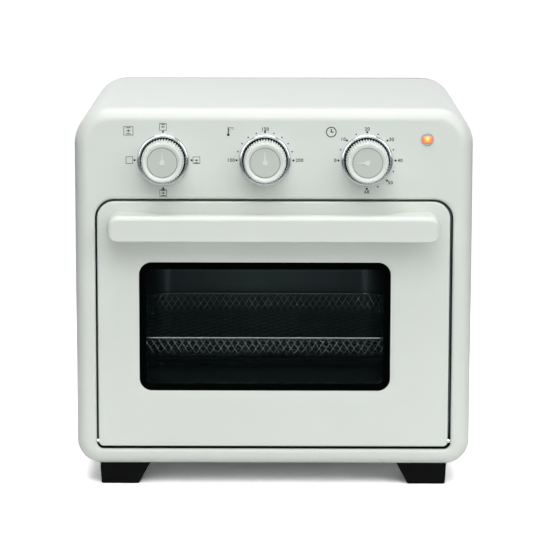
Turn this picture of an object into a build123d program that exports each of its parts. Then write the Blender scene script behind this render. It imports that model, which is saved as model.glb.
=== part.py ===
from build123d import *
import math
import os

# Air fryer oven for a worktop, in millimetres. +X is to the right of a person who faces
# the oven, +Y runs to its rear and +Z is up. The origin is under the middle of the whole
# footprint, on the surface that the feet stand on. A depth is measured from the front face.

# Body, overall
body_width = 370.0
body_depth = 305.0
body_height = 338.0
foot_height = 22.6
handle_reach = 34.0
spacer_reach = 8.0

# Body shell
top_corner_r = 33.5
bottom_corner_r = 23.0
front_edge_r = 12.5
frame_depth = 26.0
frame_wall = 2.5
rear_rim = 14.0
sheet = 1.2
casing_flange = 14.0

# Fits: a seated piece, a shaft or pin that turns, a screw in its clearance hole
fit = 0.3
running = 0.05
screw_gap = 0.15

# Shapes of small sections: sides of a bolt head or nut, sides that stand for a small round
# piece, and the least radius of a corner
hexagon = 6
round_sides = 8
least_corner_r = 0.5

# Door opening in the front frame, and the door that fills it
frame_side = 18.2
frame_bottom = 14.9
panel_height = 84.5
opening_top_r = 18.6
opening_bottom_r = 7.0
lip_bevel = 1.6
reveal_wall = 1.5
reveal_depth = 18.0
door_gap = 2.6
door_depth = 15.5
door_bevel = 1.2
skin = 1.5
door_flange = 10.0
inner_panel_wall = 1.2

# Window, centred on the cooking space rather than on the body
oven_x = -8.0
window_width = 235.0
window_height = 122.0
window_rise = 54.0
window_r = 11.7
window_border = 6.6
dish_width = 8.5
dish_depth = 0.9
glass_thickness = 4.0
glass_lap = 8.0
collar_wall = 1.0
inner_panel_inset = 3.0
door_screw_inset = 7.5
door_screw_rise = 44.0
door_screw_drop = 34.0
door_screw_head = 1.6
door_screw_length = 7.0

# Door handle
handle_inset = 10.7
handle_height = 22.8
handle_drop = 20.7
handle_bar = 14.5
handle_block = 30.0
handle_sweep = 24.0
handle_front_lean = (-0.3, -1)
handle_end_r = 10.8
handle_bevel = 2.6
handle_screw_inset = 15.0
handle_screw_length = 14.0

# Door hinge and its pins
hinge_rise = 5.0
hinge_depth = 5.5
pin_r = 2.6
pin_tail = 3.0
hinge_block_inset = 4.7
hinge_block_width = 10.0
hinge_block_depth = 10.0
hinge_block_height = 18.0

# Control panel
knob_drop = 48.1
knob_spacing = 94.4
knob_r = 19.8
knob_reach = 25.2
knob_rear_gap = 0.6
knurls = 32
knurl_depth = 0.8
bezel_r = 24.0
bezel_gap = 1.1
bezel_height = 4.6
cap_r = 13.75
cap_thickness = 1.4
pointer_length = 9.5
pointer_width = 1.3
pointer_height = 0.4
shaft_r = 3.0
shaft_grip = 13.0
shaft_sunk = 8.0
neck_r = 4.75
neck_reach = 3.6
nut_size = 14.0
nut_height = 2.6
nut_room_r = 9.3
nut_room_sides = 12
switch_size = 34.0
switch_depth = 24.0
thermostat_width = 42.0
thermostat_height = 28.0
thermostat_depth = 18.0
timer_size = 40.0
timer_depth = 32.0

# Indicator lamp
lamp_x = 142.2
lamp_drop = 29.5
lamp_ring_r = 6.2
lamp_ring_height = 1.5
lamp_body_depth = 22.0
lens_width = 9.2
lens_height = 7.0
lens_proud = 1.1

# Feet
foot_inset = 20.4
foot_top = 49.1
foot_bottom = 35.6
foot_draft = 1.3
foot_length = 40.0
foot_edge_r = 2.0
foot_setback = 20.0
foot_screw_inset = 12.0

# Screws
screw_r = 1.95
screw_head_r = 3.7
screw_head = 2.2
foot_screw_grip = 12.0

# Base plate, vents, rear panel fittings
base_lap = 10.0
vent_width = 3.5
base_vent_length = 46.0
base_vent_pitch = 16.0
base_vent_count = 5
base_vent_spread = 82.0
side_vent_length = 26.0
side_vent_pitch = 10.0
side_vent_count = 6
side_vent_drop = 44.0
side_vent_depth = 170.0
rear_vent_length = 40.0
rear_vent_pitch = 12.0
rear_vent_count = 10
rear_vent_drop = 52.0
rear_vent_low = 96.0
lug_size = 12.0
lug_inset = 16.0
lug_length = 26.0
lug_rise = 62.0
lug_screw_length = 12.0
spacer_width = 16.0
spacer_height = 40.0
spacer_spread = 250.0
spacer_rise = 150.0
spacer_bevel = 3.0
gland_inset = 57.0
gland_rise = 34.0
gland_size = 13.0
gland_bore_r = 4.0
gland_flange_size = 20.0
gland_flange = 3.0
gland_inside = 7.0
terminal_width = 36.0
terminal_depth = 18.0
terminal_height = 17.0
terminal_setback = 20.0

# Cooking space
liner = 1.0
cavity_width = 262.0
cavity_rise = 22.5
cavity_drop = 14.1
cavity_rear_gap = 12.0
cavity_corner_r = 34.0
liner_flange = 15.0
rail_reach = 6.0
rail_height = 6.0
rail_start = 30.0
rail_levels = [44.0, 72.0, 100.0]
basket_level = 1
seal_width = 6.0
seal_margin = 3.0

# Heaters and their ceramic bushes
heater_r = 3.5
heater_inset = 57.0
lower_heater_rise = 18.0
upper_heater_drop = 17.0
heater_tail = 14.0
bush_size = 12.0
bush_inside = 3.0
bush_length = 12.0

# Fan, its housing above the cooking space, and the motor
dome_r = 75.0
dome_height = 24.0
dome_lap = 8.0
shaft_hole_r = 5.0
guard_r = 84.0
guard_slot = 4.0
guard_slot_r = 45.0
guard_slot_length = 46.0
guard_slots = 16
fan_r = 64.0
fan_hub_r = 9.0
fan_disc = 1.2
blade_height = 13.0
blade_wall = 1.2
blade_start_r = 24.0
blade_curve_r = 62.0
blade_sweep_share = 0.33
blade_count = 9
fan_drop = 4.0
motor_shaft_r = 2.5
motor_shaft_low = 3.0
cooling_r = 33.0
cooling_blades = 6
cooling_height = 10.0
cooling_chord = 17.0
cooling_pitch = 32.0
cooling_lift = 6.0
bracket_lift = 24.0
bracket_wall = 1.5
bracket_width = 26.0
bracket_half = 38.0
bracket_foot = 12.0
stack_width = 52.0
stack_depth = 44.0
stack_height = 16.0
bearing_r = 8.0
bearing_height = 3.0
coil_width = 30.0
coil_depth = 15.0
coil_height = 26.0
coil_bevel = 4.0

# Thermostat bulb
bulb_r = 3.0
bulb_length = 74.0
bulb_drop = 10.0
clip_size = 10.0
clip_spread = 46.0

# Frying basket
basket_front = 36.0
basket_rear_gap = 5.0
basket_side_gap = 3.0
rim_r = 1.6
mesh_wall = 1.2
mesh_gap = 0.1
basket_height = 20.0
basket_bend_r = 6.0
basket_border = 7.0
rim_front_corner_r = 12.0
rim_rear_corner_r = 30.0
diamond_width = 38.0
diamond_length = 52.0
diamond_web = 2.4
wall_diamond_height = 10.0

# Crumb tray
tray_front = 32.0
tray_rear_gap = 9.0
tray_side_gap = 5.0
tray_wall = 1.0
tray_height = 8.0
tray_corner_r = 20.0

# Places worked out from the sizes
front_y = handle_reach - (handle_reach + body_depth + spacer_reach) / 2
rear_y = front_y + body_depth
base_z = foot_height
top_z = base_z + body_height
opening_width = body_width - 2 * frame_side
opening_low = base_z + frame_bottom
opening_high = top_z - panel_height
door_width = opening_width - 2 * door_gap
door_low = opening_low + door_gap
door_high = opening_high - door_gap
window_low = door_low + window_rise
knob_z = top_z - knob_drop
knob_places = [oven_x - knob_spacing, oven_x, oven_x + knob_spacing]
lamp_z = top_z - lamp_drop
hinge_y = front_y + hinge_depth
hinge_z = door_low + hinge_rise
handle_z = door_high - handle_drop
handle_half = door_width / 2 - handle_inset
cavity_floor = opening_low + cavity_rise
cavity_top = opening_high - cavity_drop
cavity_front_y = front_y + reveal_depth
cavity_rear_y = rear_y - cavity_rear_gap
cavity_left = oven_x - cavity_width / 2
cavity_right = oven_x + cavity_width / 2
fan_y = (cavity_front_y + cavity_rear_y) / 2
heater_ys = [cavity_front_y + heater_inset, cavity_rear_y - heater_inset]
rail_top = cavity_floor + rail_levels[basket_level] + rail_height / 2

os.makedirs("parts", exist_ok=True)


def front_plane(depth):
    """Plane parallel to the front face at that depth, seen from the front: local y is up."""
    return Plane(origin=(0, front_y + depth, 0), x_dir=(1, 0, 0), z_dir=(0, -1, 0))


def rounded_outline(plane, width, low, high, top_r, bottom_r, centre=0.0):
    """Upright outline with one radius for its upper corners and one for its lower ones."""
    with BuildSketch(plane) as outline:
        with Locations((centre, (low + high) / 2)):
            Rectangle(width, high - low)
        fillet(outline.vertices().group_by(Axis.Y)[-1], top_r)
        fillet(outline.vertices().group_by(Axis.Y)[0], bottom_r)
    return outline.sketch


def body_outline(depth, inset=0.0):
    """Outline of the body, seen from the front, moved inwards by the inset."""
    return rounded_outline(
        front_plane(depth),
        body_width - 2 * inset,
        base_z + inset,
        top_z - inset,
        top_corner_r - inset,
        bottom_corner_r - inset,
    )


def opening_outline(depth, inset=0.0):
    """Outline of the door opening, moved inwards by the inset."""
    return rounded_outline(
        front_plane(depth),
        opening_width - 2 * inset,
        opening_low + inset,
        opening_high - inset,
        opening_top_r - inset,
        max(opening_bottom_r - inset, least_corner_r),
    )


def window_outline(depth, inset=0.0):
    """Outline of the window in the door, moved inwards by the inset."""
    radius = max(window_r - inset, least_corner_r)
    return rounded_outline(
        front_plane(depth),
        window_width - 2 * inset,
        window_low + inset,
        window_low + window_height - inset,
        radius,
        radius,
        oven_x,
    )


def cavity_mouth(depth, inset=0.0):
    """Outline of the mouth of the cooking space, moved inwards by the inset."""
    with BuildSketch(front_plane(depth)) as outline:
        with Locations((oven_x, (cavity_floor + cavity_top) / 2)):
            Rectangle(cavity_width - 2 * inset, cavity_top - cavity_floor - 2 * inset)
    return outline.sketch


def screw_hole(gap=0.0):
    """Section of a screw's thread, or of its hole with a gap round it."""
    RegularPolygon(screw_r + gap, round_sides)


def screw(length, head=screw_head):
    """Hexagon-headed screw that points down Z, with the seat of its head at the origin."""
    with BuildPart(mode=Mode.PRIVATE) as fastener:
        with BuildSketch():
            RegularPolygon(screw_head_r, hexagon)
        extrude(amount=head)
        with BuildSketch():
            screw_hole()
        extrude(amount=-length)
    return fastener.part


def save(builder, name):
    """Label a finished piece and write its file."""
    builder.part.label = name
    export_step(builder.part, "parts/" + name + ".step")


# Front frame: one moulding with the control panel, rounded outer edges and a reveal
# that runs back around the door.
with BuildPart() as front_frame:
    extrude(body_outline(0), amount=-frame_depth)
    fillet(front_frame.edges().group_by(Axis.Y)[0], front_edge_r)
    extrude(body_outline(front_edge_r, frame_wall), amount=front_edge_r - frame_depth, mode=Mode.SUBTRACT)
    extrude(body_outline(frame_wall, front_edge_r / 2), amount=frame_wall - front_edge_r, mode=Mode.SUBTRACT)
    extrude(opening_outline(frame_wall, -reveal_wall), amount=frame_wall - reveal_depth)
    extrude(opening_outline(0), amount=-reveal_depth, mode=Mode.SUBTRACT)
    lip = front_frame.faces().sort_by(Axis.Y)[0].inner_wires()[0]
    chamfer(lip.edges(), lip_bevel)
    with BuildSketch(front_plane(0)):
        with Locations(*[(x, knob_z) for x in knob_places]):
            Circle(neck_r + fit)
        with Locations((lamp_x, lamp_z)):
            Rectangle(lens_width + 2 * fit, lens_height + 2 * fit)
    extrude(amount=-frame_wall, mode=Mode.SUBTRACT)
    with Locations((0, hinge_y, hinge_z)):
        Cylinder(pin_r, opening_width + 2 * reveal_wall, rotation=(0, 90, 0), mode=Mode.SUBTRACT)
save(front_frame, "front_frame")

# Outer casing: sheet wrapped around the body, with flanges under it, vents in both
# sides and four lugs for the screws of the rear panel.
foot_screw_x = body_width / 2 - foot_inset - foot_screw_inset
foot_ys = [front_y + foot_setback, rear_y - foot_setback - foot_length]
foot_screw_places = [
    (side * foot_screw_x, foot_y + foot_length / 2) for side in (-1, 1) for foot_y in foot_ys
]
casing_length = body_depth - frame_depth - rear_rim
casing_gap = body_width - 2 * (bottom_corner_r + casing_flange)
lug_x = body_width / 2 - lug_inset
lug_zs = [base_z + lug_rise, top_z - lug_rise]
lug_places = [(side * lug_x, lug_z) for side in (-1, 1) for lug_z in lug_zs]
lug_front_y = rear_y - sheet - lug_length
with BuildPart() as outer_casing:
    extrude(body_outline(frame_depth), amount=-casing_length)
    extrude(body_outline(frame_depth, sheet), amount=-casing_length, mode=Mode.SUBTRACT)
    with Locations((0, front_y + frame_depth + casing_length / 2, base_z)):
        Box(casing_gap, casing_length, 2 * sheet, mode=Mode.SUBTRACT)
    with BuildSketch(Plane.YZ):
        with Locations((front_y + side_vent_depth, top_z - side_vent_drop)):
            with GridLocations(side_vent_pitch, 0, side_vent_count, 1):
                Rectangle(vent_width, side_vent_length)
    extrude(amount=body_width / 2, both=True, mode=Mode.SUBTRACT)
    rim_y = rear_y - rear_rim
    for side in (-1, 1):
        for lug_z in lug_zs:
            with Locations((side * lug_x, lug_front_y + lug_length / 2, lug_z)):
                Box(lug_size, lug_length, lug_size)
            web_x = side * (body_width / 2 - lug_inset / 2)
            with Locations((web_x, (lug_front_y + rim_y) / 2, lug_z)):
                Box(lug_inset - sheet, rim_y - lug_front_y, lug_size)
    with BuildSketch(front_plane(body_depth - sheet)):
        with Locations(*lug_places):
            screw_hole()
    extrude(amount=lug_screw_length, mode=Mode.SUBTRACT)
    with BuildSketch(Plane.XY.offset(base_z)):
        with Locations(*foot_screw_places):
            screw_hole()
    extrude(amount=sheet, mode=Mode.SUBTRACT)
save(outer_casing, "outer_casing")

# Base plate: lies on the flanges of the casing, with vents under the compartments.
base_width = casing_gap + 2 * base_lap
with BuildPart() as base_plate:
    with BuildSketch(Plane.XY.offset(base_z + sheet)):
        with Locations((0, front_y + frame_depth + casing_length / 2)):
            Rectangle(base_width, casing_length)
            with GridLocations(2 * base_vent_spread, base_vent_pitch, 2, base_vent_count):
                Rectangle(base_vent_length, vent_width, mode=Mode.SUBTRACT)
        with Locations(*foot_screw_places):
            RegularPolygon(screw_r + screw_gap, round_sides, mode=Mode.SUBTRACT)
    extrude(amount=sheet)
save(base_plate, "base_plate")

# Feet: moulded blocks, upright outside and sloped inside, with a hole for a screw from above.
def foot(side, start_y):
    """One foot under the base, its outer face towards the side given as -1 or 1."""
    outer = side * (body_width / 2 - foot_inset)
    with BuildPart() as block:
        with BuildSketch(Plane(origin=(0, start_y, 0), x_dir=(1, 0, 0), z_dir=(0, -1, 0))) as profile:
            with BuildLine():
                Polyline(
                    (outer, base_z),
                    (outer - side * foot_draft, 0),
                    (outer - side * (foot_draft + foot_bottom), 0),
                    (outer - side * foot_top, base_z),
                    close=True,
                )
            make_face()
            fillet(profile.vertices().group_by(Axis.Y)[0], foot_edge_r)
        extrude(amount=-foot_length)
        with BuildSketch(Plane.XY.offset(base_z)):
            with Locations((side * foot_screw_x, start_y + foot_length / 2)):
                screw_hole()
        extrude(amount=-foot_screw_grip, mode=Mode.SUBTRACT)
    return block


for foot_end, foot_y in zip(("front", "rear"), foot_ys):
    for foot_hand, foot_side in (("left", -1), ("right", 1)):
        save(foot(foot_side, foot_y), "foot_" + foot_end + "_" + foot_hand)


# Foot screws: down through the base plate and the flange into each foot.
with BuildPart() as foot_screws:
    with Locations(*[(place_x, place_y, base_z + 2 * sheet) for place_x, place_y in foot_screw_places]):
        add(screw(foot_screw_grip + 2 * sheet))
save(foot_screws, "foot_screws")

# Rear panel: a shallow pan that closes the body, with two banks of vents and a hole for the gland.
gland_x = body_width / 2 - gland_inset
gland_z = base_z + gland_rise
with BuildPart() as rear_panel:
    extrude(body_outline(body_depth - rear_rim), amount=-rear_rim)
    extrude(body_outline(body_depth - rear_rim, sheet), amount=sheet - rear_rim, mode=Mode.SUBTRACT)
    with BuildSketch(front_plane(body_depth - sheet)):
        with Locations((0, top_z - rear_vent_drop), (0, base_z + rear_vent_low)):
            with GridLocations(rear_vent_pitch, 0, rear_vent_count, 1):
                Rectangle(vent_width, rear_vent_length)
        with Locations(*lug_places):
            screw_hole(screw_gap)
        with Locations((gland_x, gland_z)):
            Rectangle(gland_size, gland_size)
    extrude(amount=-sheet, mode=Mode.SUBTRACT)
save(rear_panel, "rear_panel")

# Screws of the rear panel, one into each lug of the casing.
with BuildPart() as casing_screws:
    for place_x, place_z in lug_places:
        with Locations(Location((place_x, rear_y, place_z), (-90, 0, 0))):
            add(screw(lug_screw_length))
save(casing_screws, "casing_screws")

# Spacers: hold the hot rear panel off the wall behind the oven.
for spacer_hand, spacer_side in (("left", -1), ("right", 1)):
    with BuildPart() as rear_spacer:
        with BuildSketch(front_plane(body_depth)):
            with Locations((spacer_side * spacer_spread / 2, base_z + spacer_rise)):
                Rectangle(spacer_width, spacer_height)
        extrude(amount=-spacer_reach)
        chamfer(rear_spacer.edges().filter_by(Axis.Y), spacer_bevel)
    save(rear_spacer, "rear_spacer_" + spacer_hand)

# Gland for the mains lead: a square bush with its flange outside the rear panel.
with BuildPart() as cord_gland:
    with BuildSketch(front_plane(body_depth)):
        with Locations((gland_x, gland_z)):
            Rectangle(gland_flange_size, gland_flange_size)
    extrude(amount=-gland_flange)
    chamfer(cord_gland.faces().sort_by(Axis.Y)[-1].edges(), gland_flange / 2)
    with BuildSketch(front_plane(body_depth)):
        with Locations((gland_x, gland_z)):
            Rectangle(gland_size, gland_size)
    extrude(amount=gland_inside)
    with Locations((gland_x, rear_y, gland_z)):
        Cylinder(gland_bore_r, 2 * (gland_inside + gland_flange), rotation=(90, 0, 0), mode=Mode.SUBTRACT)
save(cord_gland, "cord_gland")

# Terminal block: stands on the base plate in front of the gland.
terminal_z = base_z + 2 * sheet
with BuildPart() as terminal_block:
    with Locations((gland_x, rear_y - rear_rim - terminal_setback, terminal_z)):
        Box(
            terminal_width,
            terminal_depth,
            terminal_height,
            align=(Align.CENTER, Align.MAX, Align.MIN),
        )
save(terminal_block, "terminal_block")

# Cooking space: a bent steel wall with rounded rear corners and pressed rails, a roof and
# a floor. Each of them has a flange in front, behind the door opening.
cavity_height = cavity_top - cavity_floor
flange_width = opening_width + liner_flange
flange_high = opening_high + liner_flange / 2
flange_low = opening_low - liner_flange / 2
bush_ends = [
    (heater_y, heater_z)
    for heater_z in (cavity_floor + lower_heater_rise, cavity_top - upper_heater_drop)
    for heater_y in heater_ys
]


def cavity_plan(height, grown=0.0):
    """Plan of the cooking space at this height, grown to the sides and the rear."""
    with BuildSketch(Plane.XY.offset(height)) as plan:
        with Locations((oven_x, cavity_front_y)):
            Rectangle(
                cavity_width + 2 * grown,
                cavity_rear_y + grown - cavity_front_y,
                align=(Align.CENTER, Align.MIN),
            )
        fillet(plan.vertices().group_by(Axis.Y)[-1], cavity_corner_r + grown)
    return plan.sketch


def front_flange(low, high):
    """Flange between two heights, across the whole front of the cooking space."""
    with BuildSketch(front_plane(reveal_depth)) as strip:
        with Locations((0, (low + high) / 2)):
            Rectangle(flange_width, high - low)
    return strip.sketch


rail_length = cavity_rear_y - cavity_corner_r - (front_y + rail_start)
rail_y = front_y + rail_start + rail_length / 2
with BuildPart() as liner_walls:
    extrude(cavity_plan(cavity_floor, liner), amount=cavity_height)
    extrude(front_flange(cavity_floor, cavity_top), amount=-liner)
    extrude(cavity_plan(cavity_floor), amount=cavity_height, mode=Mode.SUBTRACT)
    for rail_level in rail_levels:
        for side in (-1, 1):
            wall_x = oven_x + side * cavity_width / 2
            rail_z = cavity_floor + rail_level
            with Locations((wall_x - side * rail_reach / 2, rail_y, rail_z)):
                Box(rail_reach, rail_length, rail_height)
            with Locations((wall_x + side * (liner - rail_reach / 2), rail_y, rail_z)):
                Box(
                    rail_reach,
                    rail_length - 2 * liner,
                    rail_height - 2 * liner,
                    mode=Mode.SUBTRACT,
                )
    with BuildSketch(Plane.YZ.offset(cavity_left - 2 * liner)):
        with Locations(*bush_ends):
            Rectangle(bush_size, bush_size)
    extrude(amount=cavity_width + 4 * liner, mode=Mode.SUBTRACT)
save(liner_walls, "liner_walls")

with BuildPart() as liner_floor:
    extrude(cavity_plan(cavity_floor, liner), amount=-liner)
    extrude(front_flange(flange_low, cavity_floor), amount=-liner)
save(liner_floor, "liner_floor")

upright = (Align.CENTER, Align.CENTER, Align.MIN)
with BuildPart() as liner_roof:
    extrude(cavity_plan(cavity_top, liner), amount=liner)
    extrude(front_flange(cavity_top, flange_high), amount=-liner)
    with Locations((oven_x, fan_y, cavity_top)):
        Cylinder(dome_r, liner, align=upright, mode=Mode.SUBTRACT)
save(liner_roof, "liner_roof")

# Fan housing: a round pressed cover, spot-welded by its rim over the hole in the roof.
with BuildPart() as fan_housing:
    with Locations((oven_x, fan_y, cavity_top + liner)):
        Cylinder(dome_r + dome_lap, liner, align=upright)
        Cylinder(dome_r + liner, dome_height, align=upright)
        Cylinder(dome_r, dome_height - liner, align=upright, mode=Mode.SUBTRACT)
        Cylinder(shaft_hole_r, 2 * dome_height, align=upright, mode=Mode.SUBTRACT)
save(fan_housing, "fan_housing")

# Seal: silicone strip on the flange, round the mouth of the cooking space.
with BuildPart() as door_seal:
    extrude(cavity_mouth(door_depth + fit, -seal_margin - seal_width), amount=door_depth + fit - reveal_depth)
    extrude(
        cavity_mouth(door_depth + fit, -seal_margin),
        amount=door_depth + fit - reveal_depth,
        mode=Mode.SUBTRACT,
    )
save(door_seal, "door_seal")


# Heaters: straight sheathed elements across the cooking space, two low and two high.
rod_start = cavity_left - liner - heater_tail
rod_length = cavity_width + 2 * (liner + heater_tail)
for heater_name, heater_row in (("lower_heaters", bush_ends[:2]), ("upper_heaters", bush_ends[2:])):
    with BuildPart() as heaters:
        with BuildSketch(Plane.YZ.offset(rod_start)):
            with Locations(*heater_row):
                Circle(heater_r)
        extrude(amount=rod_length)
    save(heaters, heater_name)

# Ceramic bushes: square blocks through the walls, holding the ends of the heaters.
with BuildPart() as heater_bushes:
    for side in (-1, 1):
        with BuildSketch(Plane.YZ.offset(oven_x + side * (cavity_width / 2 - bush_inside))):
            with Locations(*bush_ends):
                Rectangle(bush_size, bush_size)
                RegularPolygon(heater_r, round_sides, major_radius=False, mode=Mode.SUBTRACT)
        extrude(amount=side * bush_length)
save(heater_bushes, "heater_bushes")

# Fan guard: a flat slotted disc under the fan, welded to the roof of the cooking space.
with BuildPart() as fan_guard:
    with BuildSketch(Plane.XY.offset(cavity_top - sheet)):
        with Locations((oven_x, fan_y)):
            Circle(guard_r)
            with PolarLocations(guard_slot_r, guard_slots):
                Rectangle(guard_slot_length, guard_slot, mode=Mode.SUBTRACT)
    extrude(amount=sheet)
save(fan_guard, "fan_guard")

# Fan: a pressed disc with curved blades hanging from it, on the lower end of the shaft.
fan_top = cavity_top + dome_height - fan_drop
with BuildPart() as convection_fan:
    with BuildSketch(Plane.XY.offset(fan_top - fan_disc)):
        with Locations((oven_x, fan_y)):
            Circle(fan_r)
    extrude(amount=fan_disc)
    with BuildSketch(Plane.XY.offset(fan_top - fan_disc - blade_height)):
        with Locations((oven_x, fan_y)):
            Circle(fan_hub_r)
    extrude(amount=blade_height)
    blade_run = fan_r - blade_start_r - blade_wall
    blade_sweep = blade_run * blade_sweep_share
    with BuildSketch(Plane.XY.offset(fan_top - fan_disc - blade_height)):
        with Locations((oven_x, fan_y)):
            with PolarLocations(blade_start_r, blade_count):
                with BuildLine() as blade_line:
                    RadiusArc((0, 0), (blade_run, blade_sweep), blade_curve_r)
                    offset(amount=blade_wall, side=Side.LEFT)
                make_face()
    extrude(amount=blade_height)
    with Locations((oven_x, fan_y, fan_top)):
        Cylinder(motor_shaft_r, 2 * (fan_disc + blade_height), mode=Mode.SUBTRACT)
save(convection_fan, "convection_fan")

# Cooling fan: a second fan on the shaft, above the roof of the cooking space, that keeps
# the motor and the controls cool.
dome_top = cavity_top + dome_height + liner
cooling_z = dome_top + cooling_lift + cooling_height / 2
cooling_blade = cooling_r - fan_hub_r + blade_wall
with BuildPart() as cooling_fan:
    with Locations((oven_x, fan_y, cooling_z)):
        Cylinder(fan_hub_r, cooling_height)
        with PolarLocations(cooling_r - cooling_blade / 2, cooling_blades):
            Box(cooling_blade, cooling_chord, blade_wall, rotation=(cooling_pitch, 0, 0))
        Cylinder(motor_shaft_r, 2 * cooling_height, mode=Mode.SUBTRACT)
save(cooling_fan, "cooling_fan")

# Motor bracket: a strap that stands on the fan housing and carries the motor.
bracket_top = dome_top + bracket_lift
with BuildPart() as motor_bracket:
    strap_plane = Plane(
        origin=(oven_x, fan_y - bracket_width / 2, 0), x_dir=(1, 0, 0), z_dir=(0, -1, 0)
    )
    with BuildSketch(strap_plane):
        with BuildLine():
            Polyline(
                (0, bracket_top),
                (bracket_half, bracket_top),
                (bracket_half, dome_top + bracket_wall),
                (bracket_half + bracket_foot, dome_top + bracket_wall),
                (bracket_half + bracket_foot, dome_top),
                (bracket_half - bracket_wall, dome_top),
                (bracket_half - bracket_wall, bracket_top - bracket_wall),
                (0, bracket_top - bracket_wall),
                close=True,
            )
        make_face()
        mirror(about=Plane.YZ)
    extrude(amount=-bracket_width)
    with Locations((oven_x, fan_y, bracket_top)):
        Cylinder(bearing_r + fit, 2 * bracket_wall, mode=Mode.SUBTRACT)
save(motor_bracket, "motor_bracket")

# Motor: a laminated stack with a bearing above and below it, and a winding behind it.
stack_z = bracket_top + stack_height / 2
with BuildPart() as motor_stack:
    with Locations((oven_x, fan_y, stack_z)):
        Box(stack_width, stack_depth, stack_height)
        Cylinder(bearing_r, stack_height + 2 * bearing_height)
        Cylinder(motor_shaft_r + running, stack_height + 2 * bearing_height, mode=Mode.SUBTRACT)
save(motor_stack, "motor_stack")

with BuildPart() as motor_coil:
    with Locations((oven_x, fan_y + stack_depth / 2 + coil_depth / 2, stack_z)):
        Box(coil_width, coil_depth, coil_height)
    chamfer(motor_coil.edges().filter_by(Axis.X), coil_bevel)
save(motor_coil, "motor_coil")

# Shaft: carries both fans and turns in the bearings of the motor.
shaft_low = fan_top - fan_disc - blade_height - motor_shaft_low
shaft_high = stack_z + stack_height / 2 + bearing_height + motor_shaft_low
with BuildPart() as motor_shaft:
    with Locations((oven_x, fan_y, shaft_low)):
        Cylinder(
            motor_shaft_r,
            shaft_high - shaft_low,
            align=(Align.CENTER, Align.CENTER, Align.MIN),
        )
save(motor_shaft, "motor_shaft")

# Thermostat bulb and the two clips that hold it to the right-hand wall.
bulb_z = cavity_top - bulb_drop
bulb_x = cavity_right - clip_size / 2
with BuildPart() as thermostat_bulb:
    with Locations((bulb_x, fan_y, bulb_z)):
        Cylinder(bulb_r, bulb_length, rotation=(90, 0, 0))
save(thermostat_bulb, "thermostat_bulb")

with BuildPart() as bulb_clips:
    with Locations((bulb_x, fan_y, bulb_z)):
        with GridLocations(0, clip_spread, 1, 2):
            Box(clip_size, clip_size / 2, clip_size)
        Box(2 * bulb_r, bulb_length, 2 * bulb_r, mode=Mode.SUBTRACT)
save(bulb_clips, "bulb_clips")


def control(centre_x, width, height, depth):
    """Switch behind the panel: its body, and a neck for the shaft through the panel."""
    with BuildPart() as unit:
        with BuildSketch(front_plane(frame_wall)):
            with Locations((centre_x, knob_z)):
                Rectangle(width, height)
        extrude(amount=-depth)
        with BuildSketch(front_plane(frame_wall)):
            with Locations((centre_x, knob_z)):
                Circle(neck_r)
        extrude(amount=frame_wall + neck_reach)
        with BuildSketch(front_plane(-neck_reach)):
            with Locations((centre_x, knob_z)):
                Circle(shaft_r + running)
        extrude(amount=-(neck_reach + shaft_sunk + fit), mode=Mode.SUBTRACT)
    return unit


# Switch, thermostat and timer, and the nuts that clamp their necks to the panel.
save(control(knob_places[0], switch_size, switch_size, switch_depth), "function_switch")
save(control(knob_places[1], thermostat_width, thermostat_height, thermostat_depth), "thermostat")
save(control(knob_places[2], timer_size, timer_size, timer_depth), "timer")

with BuildPart() as control_nuts:
    with BuildSketch(front_plane(0)):
        with Locations(*[(x, knob_z) for x in knob_places]):
            RegularPolygon(nut_size / 2, hexagon, major_radius=False)
            RegularPolygon(neck_r, round_sides, major_radius=False, mode=Mode.SUBTRACT)
    extrude(amount=nut_height)
save(control_nuts, "control_nuts")

# Bezels: bright rings on the panel, one round each knob.
with BuildPart() as knob_bezels:
    with BuildSketch(front_plane(0)):
        with Locations(*[(x, knob_z) for x in knob_places]):
            Circle(bezel_r)
    extrude(amount=bezel_height)
    with BuildSketch(front_plane(0)):
        with Locations(*[(x, knob_z) for x in knob_places]):
            Circle(knob_r + bezel_gap)
    extrude(amount=bezel_height, mode=Mode.SUBTRACT)
save(knob_bezels, "knob_bezels")


# Knobs: knurled skirts pushed onto the shafts, each with a pointer cap on its face.
def knob(centre_x):
    """Knob of one control, with a pocket for the nut behind it and a bore for its shaft."""
    ridges = []
    for ridge in range(2 * knurls):
        angle = math.pi * ridge / knurls
        reach = knob_r if ridge % 2 else knob_r - knurl_depth
        ridges.append((reach * math.cos(angle), reach * math.sin(angle)))
    with BuildPart() as grip:
        with BuildSketch(front_plane(-knob_rear_gap)):
            with Locations((centre_x, knob_z)):
                Polygon(*ridges, align=None)
        extrude(amount=knob_reach - cap_thickness - knob_rear_gap)
        with BuildSketch(front_plane(0)):
            with Locations((centre_x, knob_z)):
                RegularPolygon(nut_room_r, nut_room_sides)
        extrude(amount=neck_reach + knob_rear_gap, mode=Mode.SUBTRACT)
        with BuildSketch(front_plane(0)):
            with Locations((centre_x, knob_z)):
                Circle(shaft_r)
        extrude(amount=neck_reach + shaft_grip + fit, mode=Mode.SUBTRACT)
    return grip


def knob_cap(centre_x, pointer_turn):
    """Cap with a raised pointer; a turn of 0 points it straight up."""
    with BuildPart() as cap:
        with BuildSketch(front_plane(cap_thickness - knob_reach)):
            with Locations((centre_x, knob_z)):
                Circle(cap_r)
        extrude(amount=cap_thickness)
        with BuildSketch(front_plane(-knob_reach)):
            with Locations(Location((centre_x, knob_z), pointer_turn)):
                with Locations((0, pointer_length / 2)):
                    Rectangle(pointer_width, pointer_length)
        extrude(amount=pointer_height)
    return cap


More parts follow.
